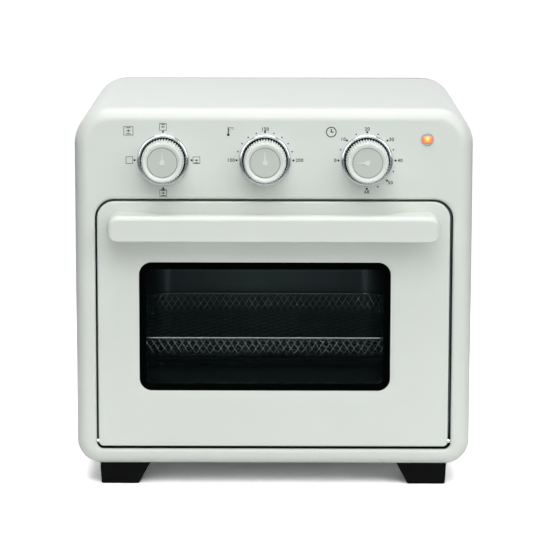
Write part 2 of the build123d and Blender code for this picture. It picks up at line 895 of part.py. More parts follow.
def control_shaft(centre_x):
    """Shaft of one control, from inside its body to inside its knob."""
    with BuildPart() as spindle:
        with BuildSketch(front_plane(shaft_sunk)):
            with Locations((centre_x, knob_z)):
                Circle(shaft_r)
        extrude(amount=shaft_sunk + neck_reach + shaft_grip)
    return spindle


for control_name, control_x, turn in zip(("function", "temperature", "timer"), knob_places, (0, 0, 90)):
    save(knob(control_x), control_name + "_knob")
    save(knob_cap(control_x, turn), control_name + "_knob_cap")
    save(control_shaft(control_x), control_name + "_shaft")

# Indicator lamp: a body behind the panel, a ring in front of it and a square lens.
with BuildPart() as lamp_body:
    with BuildSketch(front_plane(0)):
        with Locations((lamp_x, lamp_z)):
            Rectangle(lens_width, lens_height)
    extrude(amount=-lamp_body_depth)
save(lamp_body, "lamp_body")

with BuildPart() as lamp_ring:
    with BuildSketch(front_plane(0)):
        with Locations((lamp_x, lamp_z)):
            Circle(lamp_ring_r)
            Rectangle(lens_width, lens_height, mode=Mode.SUBTRACT)
    extrude(amount=lamp_ring_height)
save(lamp_ring, "lamp_ring")

with BuildPart() as lamp_lens:
    with BuildSketch(front_plane(0)):
        with Locations((lamp_x, lamp_z)):
            Rectangle(lens_width, lens_height)
    extrude(amount=lamp_ring_height + lens_proud)
    chamfer(lamp_lens.faces().sort_by(Axis.Y)[0].edges(), lens_proud / 2)
save(lamp_lens, "lamp_lens")


# Door: a pressed steel skin with folded edges, dished towards the window.
def door_outline(depth, inset=0.0):
    """Outline of the door, moved inwards by the inset."""
    return opening_outline(depth, door_gap + inset)


door_back = door_depth - inner_panel_wall
handle_screw_x = handle_half - handle_screw_inset
door_screw_places = [
    (side * (door_width / 2 - door_screw_inset), screw_z)
    for side in (-1, 1)
    for screw_z in (door_low + door_screw_rise, door_high - door_screw_drop)
]
with BuildPart() as door_skin:
    extrude(door_outline(0), amount=-door_back)
    chamfer(door_skin.edges().group_by(Axis.Y)[0], door_bevel)
    extrude(door_outline(skin, skin), amount=skin + sheet - door_back, mode=Mode.SUBTRACT)
    extrude(door_outline(door_back - sheet, door_flange), amount=-sheet, mode=Mode.SUBTRACT)
    extrude(window_outline(0), amount=-skin, mode=Mode.SUBTRACT)
    door_face = door_skin.faces().sort_by(Axis.Y)[0]
    chamfer(door_face.inner_wires()[0].edges(), dish_width, dish_depth, reference=door_face)
    with BuildSketch(front_plane(0)):
        with Locations((-handle_screw_x, handle_z), (handle_screw_x, handle_z)):
            screw_hole(screw_gap)
    extrude(amount=-skin, mode=Mode.SUBTRACT)
    with BuildSketch(front_plane(door_back - sheet)):
        with Locations(*door_screw_places):
            screw_hole()
    extrude(amount=-sheet, mode=Mode.SUBTRACT)
    with Locations((0, hinge_y, hinge_z)):
        Cylinder(pin_r + running, door_width, rotation=(0, 90, 0), mode=Mode.SUBTRACT)
save(door_skin, "door_skin")

# Inner panel: closes the door from behind, with a collar that presses on the glass.
collar_inset = window_border - collar_wall
with BuildPart() as door_inner_panel:
    extrude(door_outline(door_back, inner_panel_inset), amount=-inner_panel_wall)
    extrude(
        window_outline(skin + glass_thickness, collar_inset - collar_wall),
        amount=skin + glass_thickness - door_back,
    )
    extrude(
        window_outline(skin + glass_thickness, collar_inset),
        amount=skin + glass_thickness - door_depth,
        mode=Mode.SUBTRACT,
    )
    with BuildSketch(front_plane(door_back)):
        with Locations(*door_screw_places):
            screw_hole(screw_gap)
    extrude(amount=-inner_panel_wall, mode=Mode.SUBTRACT)
save(door_inner_panel, "door_inner_panel")

with BuildPart() as door_screws:
    for place_x, place_z in door_screw_places:
        with Locations(Location((place_x, front_y + door_depth, place_z), (-90, 0, 0))):
            add(screw(door_screw_length, door_screw_head))
save(door_screws, "door_screws")

# Glass: clamped between the skin and the collar of the inner panel.
with BuildPart() as door_glass:
    extrude(window_outline(skin, -glass_lap), amount=-glass_thickness)
save(door_glass, "door_glass")

# Handle: one moulding with solid ends and a slim bar between them.
bar_back = front_y - handle_reach + handle_bar
with BuildPart() as handle:
    with BuildSketch(Plane.XY.offset(handle_z - handle_height / 2)):
        with BuildLine():
            Polyline(
                (0, bar_back),
                (0, front_y - handle_reach),
                (handle_half, front_y - handle_reach),
                (handle_half, front_y),
                (handle_half - handle_block, front_y),
            )
            Spline(
                (handle_half - handle_block, front_y),
                (handle_half - handle_block - handle_sweep, bar_back),
                tangents=(handle_front_lean, (-1, 0)),
            )
            Line((handle_half - handle_block - handle_sweep, bar_back), (0, bar_back))
        make_face()
        mirror(about=Plane.YZ)
    extrude(amount=handle_height)
    fillet(handle.edges().filter_by(Axis.Y), handle_end_r)
    chamfer(handle.faces().sort_by(Axis.Y)[0].edges(), handle_bevel)
    with BuildSketch(front_plane(0)):
        with Locations((-handle_screw_x, handle_z), (handle_screw_x, handle_z)):
            screw_hole()
    extrude(amount=handle_screw_length, mode=Mode.SUBTRACT)
save(handle, "handle")

with BuildPart() as handle_screws:
    for side in (-1, 1):
        with Locations(Location((side * handle_screw_x, front_y + skin, handle_z), (-90, 0, 0))):
            add(screw(handle_screw_length))
save(handle_screws, "handle_screws")

# Hinge: a block inside each lower corner of the door, and a pin from the frame into it.
block_x = door_width / 2 - hinge_block_inset - hinge_block_width / 2
block_low = door_low + skin
with BuildPart() as hinge_blocks:
    with Locations((-block_x, front_y + skin, block_low), (block_x, front_y + skin, block_low)):
        Box(
            hinge_block_width,
            hinge_block_depth,
            hinge_block_height,
            align=(Align.CENTER, Align.MIN, Align.MIN),
        )
    with Locations((0, hinge_y, hinge_z)):
        Cylinder(pin_r + running, body_width, rotation=(0, 90, 0), mode=Mode.SUBTRACT)
save(hinge_blocks, "hinge_blocks")

pin_inner_x = block_x - hinge_block_width / 2 + fit
pin_outer_x = opening_width / 2 + reveal_wall + pin_tail
with BuildPart() as hinge_pins:
    for side in (-1, 1):
        with Locations((side * (pin_inner_x + pin_outer_x) / 2, hinge_y, hinge_z)):
            Cylinder(pin_r, pin_outer_x - pin_inner_x, rotation=(0, 90, 0))
save(hinge_pins, "hinge_pins")

# Frying basket: a stiff rim that rests on the middle rails, and a mesh pan inside it.
rim_half = cavity_width / 2 - basket_side_gap
rim_front_y = front_y + basket_front
rim_rear_y = cavity_rear_y - basket_rear_gap
rim_length = rim_rear_y - rim_front_y
rim_low = rail_top + fit
basket_y = (rim_front_y + rim_rear_y) / 2


def basket_plan(height, inset=0.0):
    """Plan of the basket at this height, moved inwards from the outer edge of its rim."""
    with BuildSketch(Plane.XY.offset(height)) as plan:
        with Locations((oven_x, basket_y)):
            Rectangle(2 * (rim_half - inset), rim_length - 2 * inset)
        fillet(plan.vertices().group_by(Axis.Y)[0], rim_front_corner_r - inset)
        fillet(plan.vertices().group_by(Axis.Y)[-1], rim_rear_corner_r - inset)
    return plan.sketch


with BuildPart() as basket_rim:
    extrude(basket_plan(rim_low), amount=2 * rim_r)
    extrude(basket_plan(rim_low, 2 * rim_r), amount=2 * rim_r, mode=Mode.SUBTRACT)
save(basket_rim, "basket_rim")

pan_inset = 2 * rim_r + mesh_gap
pan_high = rim_low + 2 * rim_r
pan_low = pan_high - basket_height
flat_inset = pan_inset + basket_border
columns = int(2 * (rim_half - flat_inset) / (diamond_width + diamond_web))
rows = int((rim_length - 2 * flat_inset) / (diamond_length + diamond_web))
wall_z = (pan_low + basket_bend_r + pan_high) / 2


def diamond(width, length):
    """Lozenge with its corners on its two axes."""
    Polygon((width / 2, 0), (0, length / 2), (-width / 2, 0), (0, -length / 2), align=None)


with BuildPart() as basket_mesh:
    extrude(basket_plan(pan_low, pan_inset), amount=basket_height)
    fillet(basket_mesh.edges().group_by(Axis.Z)[0], basket_bend_r)
    offset(openings=basket_mesh.faces().sort_by(Axis.Z)[-1], amount=-mesh_wall)
    with BuildSketch(Plane.XY.offset(pan_low)):
        with Locations((oven_x, basket_y)):
            pitch_x = diamond_width + diamond_web
            pitch_y = diamond_length + diamond_web
            with GridLocations(pitch_x, pitch_y, columns, rows):
                diamond(diamond_width, diamond_length)
            with GridLocations(pitch_x, pitch_y, columns - 1, rows - 1):
                diamond(diamond_width, diamond_length)
    extrude(amount=mesh_wall, mode=Mode.SUBTRACT)
    with BuildSketch(Plane(origin=(oven_x, rim_rear_y, 0), x_dir=(1, 0, 0), z_dir=(0, -1, 0))):
        with Locations((0, wall_z)):
            with GridLocations(diamond_width + diamond_web, 0, columns - 1, 1):
                diamond(diamond_width, wall_diamond_height)
    extrude(amount=rim_length, mode=Mode.SUBTRACT)
    with BuildSketch(Plane(origin=(oven_x - rim_half, 0, 0), x_dir=(0, 1, 0), z_dir=(1, 0, 0))):
        with Locations((basket_y, wall_z)):
            with GridLocations(diamond_width + diamond_web, 0, columns - 1, 1):
                diamond(diamond_width, wall_diamond_height)
    extrude(amount=2 * rim_half, mode=Mode.SUBTRACT)
save(basket_mesh, "basket_mesh")

# Crumb tray: a shallow pressed pan that lies on the floor of the cooking space.
tray_half = cavity_width / 2 - tray_side_gap
tray_front_y = front_y + tray_front
tray_rear_y = cavity_rear_y - tray_rear_gap
with BuildPart() as crumb_tray:
    with BuildSketch(Plane.XY.offset(cavity_floor + fit)):
        with Locations((oven_x, (tray_front_y + tray_rear_y) / 2)):
            RectangleRounded(2 * tray_half, tray_rear_y - tray_front_y, tray_corner_r)
    extrude(amount=tray_height)
    offset(openings=crumb_tray.faces().sort_by(Axis.Z)[-1], amount=-tray_wall)
save(crumb_tray, "crumb_tray")
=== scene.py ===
import math

import bmesh
import bpy
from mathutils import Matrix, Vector


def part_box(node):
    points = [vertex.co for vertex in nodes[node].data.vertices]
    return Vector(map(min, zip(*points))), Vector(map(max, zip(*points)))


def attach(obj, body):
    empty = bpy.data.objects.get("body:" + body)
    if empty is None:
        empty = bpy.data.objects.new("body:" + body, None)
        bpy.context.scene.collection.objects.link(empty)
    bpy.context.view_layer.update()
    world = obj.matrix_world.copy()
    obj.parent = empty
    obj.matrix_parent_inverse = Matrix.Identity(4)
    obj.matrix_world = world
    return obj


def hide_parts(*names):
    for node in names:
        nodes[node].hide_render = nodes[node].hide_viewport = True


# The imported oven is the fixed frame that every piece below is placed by. Everything is in
# metres, with +X to the right of a person who faces the oven, +Y to its rear and +Z up.
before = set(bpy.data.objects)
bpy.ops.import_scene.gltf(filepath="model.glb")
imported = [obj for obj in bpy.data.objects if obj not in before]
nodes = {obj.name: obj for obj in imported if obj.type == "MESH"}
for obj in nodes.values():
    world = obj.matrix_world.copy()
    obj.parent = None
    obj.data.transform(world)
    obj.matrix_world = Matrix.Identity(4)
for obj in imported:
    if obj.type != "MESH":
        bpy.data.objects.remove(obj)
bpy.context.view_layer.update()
mm = 0.001

# Camera: a long lens well in front of the oven and a little above it. It has no shift, so
# the upright lines draw together slightly towards the feet.
camera = bpy.data.objects.new("camera", bpy.data.cameras.new("camera"))
bpy.context.scene.collection.objects.link(camera)
camera.data.lens = 180.5
camera.data.sensor_width = 36.0
camera.data.clip_end = 50.0
camera.location = (5.0 * mm, -2629.5 * mm, 620.2 * mm)
camera.rotation_euler = (math.radians(90 - 9.372), math.radians(-0.08), math.radians(0.203))
bpy.context.scene.camera = camera
bpy.context.scene.view_settings.view_transform = "Standard"


# Front frame: one moulding with the control panel, a generous roundover on its outer edge
# and a small rolled lip where it meets the door. It is painted like the rest of the body.
def shade(red, green, blue):
    """Linear colour from the three numbers, 0 to 255, that a paint chart gives."""
    channels = []
    for level in (red, green, blue):
        share = level / 255
        channels.append(share / 12.92 if share <= 0.04045 else ((share + 0.055) / 1.055) ** 2.4)
    return (*channels, 1.0)


def tune(node, levels):
    """Set each named input of a node to its level, or its colour."""
    for entry, level in levels.items():
        node.inputs[entry].default_value = level


def shader_of(material):
    """The Principled shader of a material."""
    return material.node_tree.nodes["Principled BSDF"]


def finish(name, colour, roughness, metallic=0.0):
    """Material with one Principled shader that has this colour, roughness and metal share."""
    material = bpy.data.materials.new(name)
    material.use_nodes = True
    tune(shader_of(material), {"Base Color": colour, "Roughness": roughness, "Metallic": metallic})
    material.diffuse_color = colour
    return material


def add(tree, kind, levels=None, **settings):
    """New node of this kind in a tree, with these settings and these levels at its inputs."""
    made = tree.nodes.new("ShaderNode" + kind)
    for name, value in settings.items():
        setattr(made, name, value)
    tune(made, levels or {})
    return made


def join(tree, *links):
    """Links in a node tree, each as (node, its output, next node, its input)."""
    for start, output, end, entry in links:
        tree.links.new(start.outputs[output], end.inputs[entry])


def mottle(material, spread, size):
    """Colour that drifts by the spread, up and down, over patches of about that size."""
    tree = material.node_tree
    shader = shader_of(material)
    colour = shader.inputs["Base Color"].default_value
    place = add(tree, "TexCoord")
    noise = add(tree, "TexNoise", {"Scale": 1 / size, "Detail": 3.0})
    ramp = add(tree, "ValToRGB")
    for stop, share in zip(ramp.color_ramp.elements, (1 - spread, 1 + spread)):
        stop.color = (*[min(channel * share, 1.0) for channel in colour[:3]], 1.0)
    ramp.color_ramp.elements[0].position = 0.3
    ramp.color_ramp.elements[1].position = 0.7
    join(
        tree,
        (place, "Object", noise, "Vector"),
        (noise, "Fac", ramp, "Fac"),
        (ramp, "Color", shader, "Base Color"),
    )
    return material


def grain(material, size, depth):
    """Fine relief of that depth in the surface, with bumps of about that size."""
    tree = material.node_tree
    place = add(tree, "TexCoord")
    noise = add(tree, "TexNoise", {"Scale": 1 / size, "Detail": 2.0})
    bump = add(tree, "Bump", {"Strength": 1.0, "Distance": depth})
    join(
        tree,
        (place, "Object", noise, "Vector"),
        (noise, "Fac", bump, "Height"),
        (bump, "Normal", shader_of(material), "Normal"),
    )
    return material


def piece(name, points, faces, material, body, slot, sharp=32.0):
    """Object with this skin, shaded smooth between its sharp edges, riding on the body."""
    mesh = bpy.data.meshes.new(name)
    mesh.from_pydata([tuple(point) for point in points], [], faces)
    work = bmesh.new()
    work.from_mesh(mesh)
    bmesh.ops.remove_doubles(work, verts=work.verts, dist=0.001 * mm)
    bmesh.ops.recalc_face_normals(work, faces=work.faces)
    work.to_mesh(mesh)
    work.free()
    mesh.shade_smooth()
    mesh.set_sharp_from_angle(angle=math.radians(sharp))
    mesh.materials.append(material)
    made = bpy.data.objects.new(name, mesh)
    bpy.context.scene.collection.objects.link(made)
    even = made.modifiers.new("even_shading", "WEIGHTED_NORMAL")
    even.keep_sharp = True
    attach(made, body)
    return made


def skin_over(rings, joined=False, capped=False):
    """Points and faces that join equal rings one after the other, as a hull over its ribs."""
    count = len(rings[0])
    points = [point for ring in rings for point in ring]
    faces = []
    for row in range(len(rings) if joined else len(rings) - 1):
        here, there = row * count, (row + 1) % len(rings) * count
        for step in range(count):
            after = (step + 1) % count
            faces.append((here + step, here + after, there + after, there + step))
    if capped:
        faces.append(tuple(range(count)))
        faces.append(tuple(range(len(points) - count, len(points))))
    return points, faces


def rounded(width, low, high, top_r, bottom_r, centre=0.0, steps=14):
    """Upright rounded rectangle as (x, z) points, each corner an arc with this many steps."""
    corners = (
        (1, high, top_r, 0),
        (-1, high, top_r, 90),
        (-1, low, bottom_r, 180),
        (1, low, bottom_r, 270),
    )
    points = []
    for side, height, radius, start in corners:
        middle_x = centre + side * (width / 2 - radius)
        middle_z = height - radius if height == high else height + radius
        for step in range(steps + 1):
            turn = math.radians(start + 90 * step / steps)
            points.append((middle_x + radius * math.cos(turn), middle_z + radius * math.sin(turn)))
    return points


frame_low, frame_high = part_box("front_frame")
front_y = frame_low[1]
back_of_frame = frame_high[1] - frame_low[1]
body_width = frame_high[0] - frame_low[0]
body_top_r, body_bottom_r = 33.5 * mm, 23 * mm
roundover = 12.5 * mm
frame_wall = 2.5 * mm
seam_r = 0.5 * mm
opening_top_r, opening_bottom_r = 18.6 * mm, 7 * mm
lip_r = 3.0 * mm
roll = 0.7 * mm
reveal_wall, reveal_depth = 1.5 * mm, 18 * mm
door_low, door_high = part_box("door_skin")
door_gap = 2.6 * mm
opening_spare = 0.8 * mm
opening_width = door_high[0] - door_low[0] + 2 * door_gap
opening_low, opening_high = door_low[2] - door_gap, door_high[2] + door_gap


def at_depth(outline, depth):
    """The (x, z) points of an outline, set at this depth behind the front face."""
    return [(x, front_y + depth, z) for x, z in outline]


def body_ring(inset, depth):
    """Outline of the body at this depth, moved inwards by the inset."""
    low, high = frame_low[2] + inset, frame_high[2] - inset
    width = body_width - 2 * inset
    return at_depth(rounded(width, low, high, body_top_r - inset, body_bottom_r - inset), depth)


def opening_ring(inset, depth):
    """Outline of the door opening at this depth, moved inwards by the inset."""
    low, high = opening_low + inset, opening_high - inset
    width = opening_width + opening_spare - 2 * inset
    top_r, bottom_r = opening_top_r - inset, opening_bottom_r - inset
    return at_depth(rounded(width, low, high, top_r, bottom_r, opening_spare / 2), depth)


def quarter(steps):
    """Cosine and sine of the angles of a quarter turn, in this many steps."""
    turns = [math.pi / 2 * step / steps for step in range(steps + 1)]
    return [(math.cos(turn), math.sin(turn)) for turn in turns]


body_paint = finish("body_paint", shade(216, 221, 215), 0.34)
tune(shader_of(body_paint), {"Coat Weight": 0.25, "Coat Roughness": 0.22})
mottle(body_paint, 0.008, 60 * mm)
grain(body_paint, 1.4 * mm, 0.006 * mm)

frame_rings = [
    body_ring(frame_wall, back_of_frame),
    body_ring(frame_wall, roundover),
    body_ring(2.5 * frame_wall, frame_wall),
    opening_ring(-reveal_wall, frame_wall),
    opening_ring(-reveal_wall, reveal_depth),
    opening_ring(roll, reveal_depth),
]
for cosine, sine in reversed(quarter(8)):
    frame_rings.append(opening_ring(roll - lip_r * (1 - sine), lip_r * (1 - cosine)))
for cosine, sine in reversed(quarter(16)):
    frame_rings.append(body_ring(roundover * (1 - cosine), roundover * (1 - sine)))
for cosine, sine in quarter(3):
    frame_rings.append(body_ring(seam_r * (1 - cosine), back_of_frame - seam_r * (1 - sine)))
front_frame = piece(
    "front_frame_skin", *skin_over(frame_rings, joined=True), body_paint, "oven", "shell_plastic"
)
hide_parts("front_frame")


# Reveal: the inside of the door opening, a dark strip behind the moulding's lip. Its near-black
# colour is painted shade, so that the gap round the door stays dark.
def matt(material, level):
    """The material with its shine cut down to this level."""
    tune(shader_of(material), {"Specular IOR Level": level})
    return material


# Painted shade: the dark olive-black colour of the gap inside the door opening.
painted_shade_black = matt(grain(finish("painted_shade_black", shade(31, 31, 22), 0.7), 1 * mm, 0.01 * mm), 0.1)
gap_shade_clearance = 0.06 * mm
gap_shade_rings = [opening_ring(roll + gap_shade_clearance, depth) for depth in (lip_r * 0.8, reveal_depth)]
piece("opening_painted_shade", *skin_over(gap_shade_rings), painted_shade_black, "oven", "black_plastic")


# Outer casing, rear panel and base plate: folded sheet steel. The casing and the panel are
# painted like the front, and the base is left as galvanised steel.
def dress(node, material, bevel=0.0):
    """The CAD piece with this material, shaded smooth, its edges broken by the bevel."""
    part = nodes[node]
    part.data.materials.clear()
    part.data.materials.append(material)
    part.data.shade_smooth()
    weld = part.modifiers.new("one_skin", "WELD")
    weld.merge_threshold = 0.002 * mm
    if bevel:
        edge = part.modifiers.new("broken_edges", "BEVEL")
        edge.width = bevel
        edge.segments = 3
        edge.angle_limit = math.radians(40)
        edge.use_clamp_overlap = True
    part.data.set_sharp_from_angle(angle=math.radians(32))
    even = part.modifiers.new("even_shading", "WEIGHTED_NORMAL")
    even.keep_sharp = True
    return part


galvanised = mottle(finish("galvanised_steel", shade(170, 172, 172), 0.42, 0.9), 0.12, 9 * mm)
for shell_piece in ("outer_casing", "rear_panel"):
    dress(shell_piece, body_paint)
dress("base_plate", galvanised)

# Black plastic pieces of the shell: four feet, two spacers that keep the oven off the wall,
# and the gland of the mains lead. All have a fine moulded texture.
black_plastic = matt(grain(finish("black_plastic", shade(4, 5, 5), 0.55), 0.5 * mm, 0.02 * mm), 0.08)
for shell_piece in ("foot_front_left", "foot_front_right", "foot_rear_left", "foot_rear_right"):
    dress(shell_piece, black_plastic, 0.8 * mm)
for shell_piece in ("rear_spacer_left", "rear_spacer_right", "cord_gland"):
    dress(shell_piece, black_plastic, 0.4 * mm)

# Fasteners: zinc-plated steel screws and nuts that hold the feet, the rear panel, the door,
# the handle and the controls. None of them is in sight from the front.
plated_steel = grain(finish("plated_steel", shade(196, 196, 192), 0.28, 1.0), 0.8 * mm, 0.003 * mm)
for fastener in ("foot_screws", "casing_screws", "door_screws", "handle_screws", "control_nuts"):
    dress(fastener, plated_steel, 0.2 * mm)

# Cooking space: a folded liner of aluminised steel with rounded rear corners, its colour darkened
# and tinted teal as painted shade for the dim inside. The seal round its mouth is black silicone.
# Painted shade: the liner's dark teal colour stands in for the dim light inside the oven.
liner_steel_painted_shade = finish("liner_steel_painted_shade", shade(116, 132, 131), 0.3, 1.0)
mottle(liner_steel_painted_shade, 0.05, 40 * mm)
for liner_piece in ("liner_walls", "liner_floor", "liner_roof", "fan_housing"):
    dress(liner_piece, liner_steel_painted_shade)
silicone = grain(finish("silicone", shade(22, 22, 22), 0.6), 1 * mm, 0.01 * mm)
dress("door_seal", silicone, 0.5 * mm)

# Heaters: steel-sheathed rods, two low and two high, darkened by heat. A block of white
# ceramic holds each end in the wall of the cooking space.
heater_sheath = mottle(finish("heater_sheath", shade(40, 44, 44), 0.5, 0.8), 0.25, 12 * mm)
ceramic = grain(finish("ceramic", shade(226, 222, 210), 0.35), 2 * mm, 0.01 * mm)
dress("lower_heaters", heater_sheath)
dress("upper_heaters", heater_sheath)
dress("heater_bushes", ceramic, 0.4 * mm)

# Fans and motor: the hot-air fan behind its slotted guard, the cooling fan above it, and
# the motor on its bracket. The thermostat's bulb hangs beside the guard in two clips.
fan_steel = grain(finish("fan_steel", shade(168, 170, 170), 0.35, 1.0), 2 * mm, 0.006 * mm)
lamination = grain(finish("lamination", shade(70, 72, 76), 0.5, 0.8), 0.6 * mm, 0.03 * mm)
winding_tape = grain(finish("winding_tape", shade(224, 214, 176), 0.6), 1.5 * mm, 0.02 * mm)
copper_bulb = mottle(finish("copper_bulb", shade(190, 128, 84), 0.3, 1.0), 0.1, 8 * mm)
for fan_piece in ("fan_guard", "convection_fan", "motor_bracket", "bulb_clips"):
    dress(fan_piece, fan_steel)
dress("motor_shaft", plated_steel)
dress("cooling_fan", black_plastic)
dress("motor_stack", lamination, 0.3 * mm)
dress("motor_coil", winding_tape, 0.6 * mm)
dress("thermostat_bulb", copper_bulb, 0.6 * mm)

# Switch, thermostat and timer behind the panel, the body of the lamp and the terminal
# block: moulded housings that only show with the casing off.
white_plastic = grain(finish("white_plastic", shade(214, 212, 204), 0.45), 0.8 * mm, 0.01 * mm)
shaft_metal = grain(finish("shaft_metal", shade(190, 192, 194), 0.3, 1.0), 1 * mm, 0.004 * mm)
for housing in ("function_switch", "thermostat", "timer"):
    dress(housing, black_plastic, 0.4 * mm)
for housing in ("lamp_body", "terminal_block"):
    dress(housing, white_plastic, 0.4 * mm)
for control_name in ("function", "temperature", "timer"):
    dress(control_name + "_shaft", shaft_metal, 0.2 * mm)


# Bezels: chromed rings with a rounded top, pressed onto the panel round each knob. Inside each
# stands a shallow black well round the knob, painted shade for the dark gap between ring and knob.
steps_per_ridge = 8


def turned(centre, profile, steps=96):
    """Rings about an axis from front to back, one for each (radius, reach, ridge depth)."""
    rings = []
    for radius, reach, ridge in profile:
        ring = []
        for step in range(steps):
            turn = 2 * math.pi * step / steps
            wave = math.cos(2 * math.pi * step / steps_per_ridge)
            here = radius - ridge * (0.5 - 0.5 * wave) ** 2
            ring.append((
                centre[0] + here * math.cos(turn),
                front_y - reach,
                centre[1] + here * math.sin(turn),
            ))
        rings.append(ring)
    return rings


def turned_piece(name, centre, profile, material, body, slot, steps=96, **closing):
    """Piece turned about an axis from front to back, closed as skin_over is told."""
    return piece(name, *skin_over(turned(centre, profile, steps), **closing), material, body, slot)


chrome = finish("chrome", shade(212, 216, 220), 0.07, 1.0)
grain(chrome, 6 * mm, 0.002 * mm)
bezel_low, bezel_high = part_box("knob_bezels")
bezel_r = (bezel_high[2] - bezel_low[2]) / 2
bezel_reach = bezel_high[1] - bezel_low[1]
bezel_width = 3.1 * mm
bezel_profile = [(bezel_r, 0, 0)]
bezel_edge = 1.5 * mm
for cosine, sine in quarter(6):
    reach = bezel_reach - bezel_edge * (1 - sine)
    bezel_profile.append((bezel_r - bezel_edge * (1 - cosine), reach, 0))
for cosine, sine in reversed(quarter(6)):
    reach = bezel_reach - bezel_edge * (1 - sine)
    bezel_profile.append((bezel_r - bezel_width + bezel_edge * (1 - cosine), reach, 0))
bezel_profile.append((bezel_r - bezel_width, 0, 0))

knob_centres = {}
for control_name in ("function", "temperature", "timer"):
    knob_low, knob_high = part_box(control_name + "_knob")
    knob_centres[control_name] = ((knob_low[0] + knob_high[0]) / 2, (knob_low[2] + knob_high[2]) / 2)

# Painted shade: a black well inside each ring darkens the gap between the ring and the knob.
shade_well_r = bezel_r - bezel_width - 0.05 * mm
shade_well_floor = 0.1 * mm
shade_well_profile = [(shade_well_r, bezel_reach * 0.75, 0), (shade_well_r, shade_well_floor, 0), (10 * mm, shade_well_floor, 0)]
for control_name, centre in knob_centres.items():
    bezel = turned_piece(
        control_name + "_bezel", centre, bezel_profile, chrome, "oven", "chrome", joined=True
    )
    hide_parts("knob_bezels")
    turned_piece(control_name + "_shade_well", centre, shade_well_profile, painted_shade_black, "oven", "black_plastic")

# Knobs: pale grey mouldings pushed onto the shafts, with fine ridges round the skirt and a
# soft front edge. A darker cap with a paler raised pointer is set into the face.
knob_plastic = grain(finish("knob_plastic", shade(222, 226, 221), 0.38), 1 * mm, 0.004 * mm)
cap_plastic = grain(finish("cap_plastic", shade(193, 199, 192), 0.45), 0.7 * mm, 0.006 * mm)
pointer_plastic = grain(finish("pointer_plastic", shade(214, 219, 213), 0.5), 0.7 * mm, 0.006 * mm)
# Painted shade: a darker grey for the bottom of the narrow groove round each cap.
groove_painted_shade = grain(finish("groove_painted_shade", shade(150, 155, 149), 0.6), 1 * mm, 0.004 * mm)
cap_low, cap_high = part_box("function_knob_cap")
cap_r = (cap_high[0] - cap_low[0]) / 2
knob_r = 19.8 * mm
knob_reach = front_y - cap_low[1] - 0.4 * mm
ridge_depth = 1.7 * mm
ridges = 47
crest_r = 16.9 * mm
dish_drop = 1.5 * mm
groove = 0.35 * mm
face_reach = knob_reach - dish_drop
cap_reach = face_reach + 0.3 * mm
pointer_reach = cap_reach + 0.5 * mm
pointer_length, pointer_half, pointer_edge = 10.2 * mm, 0.55 * mm, 0.25 * mm
pointer_hub_r = 2.6 * mm
pointer_turns = {"function": 90, "temperature": 90, "timer": 180}

knob_profile = [
    (10 * mm, 0.6 * mm, 0),
    (knob_r - ridge_depth, 0.6 * mm, 0),
    (knob_r, 1.4 * mm, ridge_depth),
    (knob_r - 0.3 * mm, knob_reach - 2.6 * mm, ridge_depth),
    (knob_r - 0.7 * mm, knob_reach - 1.3 * mm, ridge_depth * 0.8),
    (knob_r - 1.3 * mm, knob_reach - 0.6 * mm, ridge_depth * 0.3),
    (knob_r - 2.0 * mm, knob_reach - 0.2 * mm, 0),
    (crest_r, knob_reach, 0),
    (crest_r - 0.6 * mm, knob_reach - 0.15 * mm, 0),
    (crest_r - 1.6 * mm, knob_reach - 0.7 * mm, 0),
    (cap_r + groove + 0.4 * mm, face_reach + 0.15 * mm, 0),
    (cap_r + groove, face_reach, 0),
    (cap_r + groove, face_reach - 1.2 * mm, 0),
]
cap_profile = [
    (cap_r - 0.2 * mm, face_reach - 1.2 * mm, 0),
    (cap_r - 0.2 * mm, cap_reach - 0.3 * mm, 0),
    (cap_r - 0.5 * mm, cap_reach, 0),
]
# A flat ring of that painted shade lies at the bottom of the groove.
groove_shade_profile = [(radius, face_reach - 1 * mm, 0) for radius in (cap_r + groove, cap_r - 1 * mm)]

hub_steps, hub_gap = 24, 20
pointer_outline = []
for step in range(hub_steps + 1):
    angle = math.radians(hub_gap + (360 - 2 * hub_gap) * step / hub_steps)
    pointer_outline.append((pointer_hub_r * math.cos(angle), pointer_hub_r * math.sin(angle)))
pointer_outline += [(pointer_length, -pointer_half * 0.6), (pointer_length, pointer_half * 0.6)]

for control_name, centre in knob_centres.items():
    body = control_name + "_control"
    knob = turned_piece(
        control_name + "_knob_moulding", centre, knob_profile, knob_plastic, body, "shell_plastic",
        steps=steps_per_ridge * ridges, capped=True,
    )
    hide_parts(control_name + "_knob")
    turned_piece(control_name + "_groove_shade", centre, groove_shade_profile, groove_painted_shade, body, "accent_plastic")
    cap = turned_piece(
        control_name + "_cap", centre, cap_profile, cap_plastic, body, "accent_plastic", capped=True
    )
    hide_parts(control_name + "_knob_cap")
    turn = math.radians(pointer_turns[control_name])
    along, across = (math.cos(turn), math.sin(turn)), (-math.sin(turn), math.cos(turn))
    rings = []
    for grow, reach in (
        (0, cap_reach - 0.2 * mm),
        (0, pointer_reach - pointer_edge),
        (-pointer_edge, pointer_reach),
    ):
        ring = []
        for forward, aside in pointer_outline:
            length = math.hypot(forward, aside)
            scale = (length + grow) / length
            forward, aside = forward * scale, aside * scale
            ring.append((
                centre[0] + forward * along[0] + aside * across[0],
                front_y - reach,
                centre[1] + forward * along[1] + aside * across[1],
            ))
        rings.append(ring)
    piece(
        control_name + "_pointer",
        *skin_over(rings, capped=True),
        pointer_plastic, body, "accent_plastic",
    )


# Indicator lamp: an oblong lens of clear amber plastic that glows, in a satin metal ring
# that is pushed through the panel from the front.
def level_map(tree, low, high, to_low=0.0, to_high=1.0):
    """Node that turns the span from low to high into that from to_low to to_high."""
    levels = {"From Min": low, "From Max": high, "To Min": to_low, "To Max": to_high}
    return add(tree, "MapRange", levels)


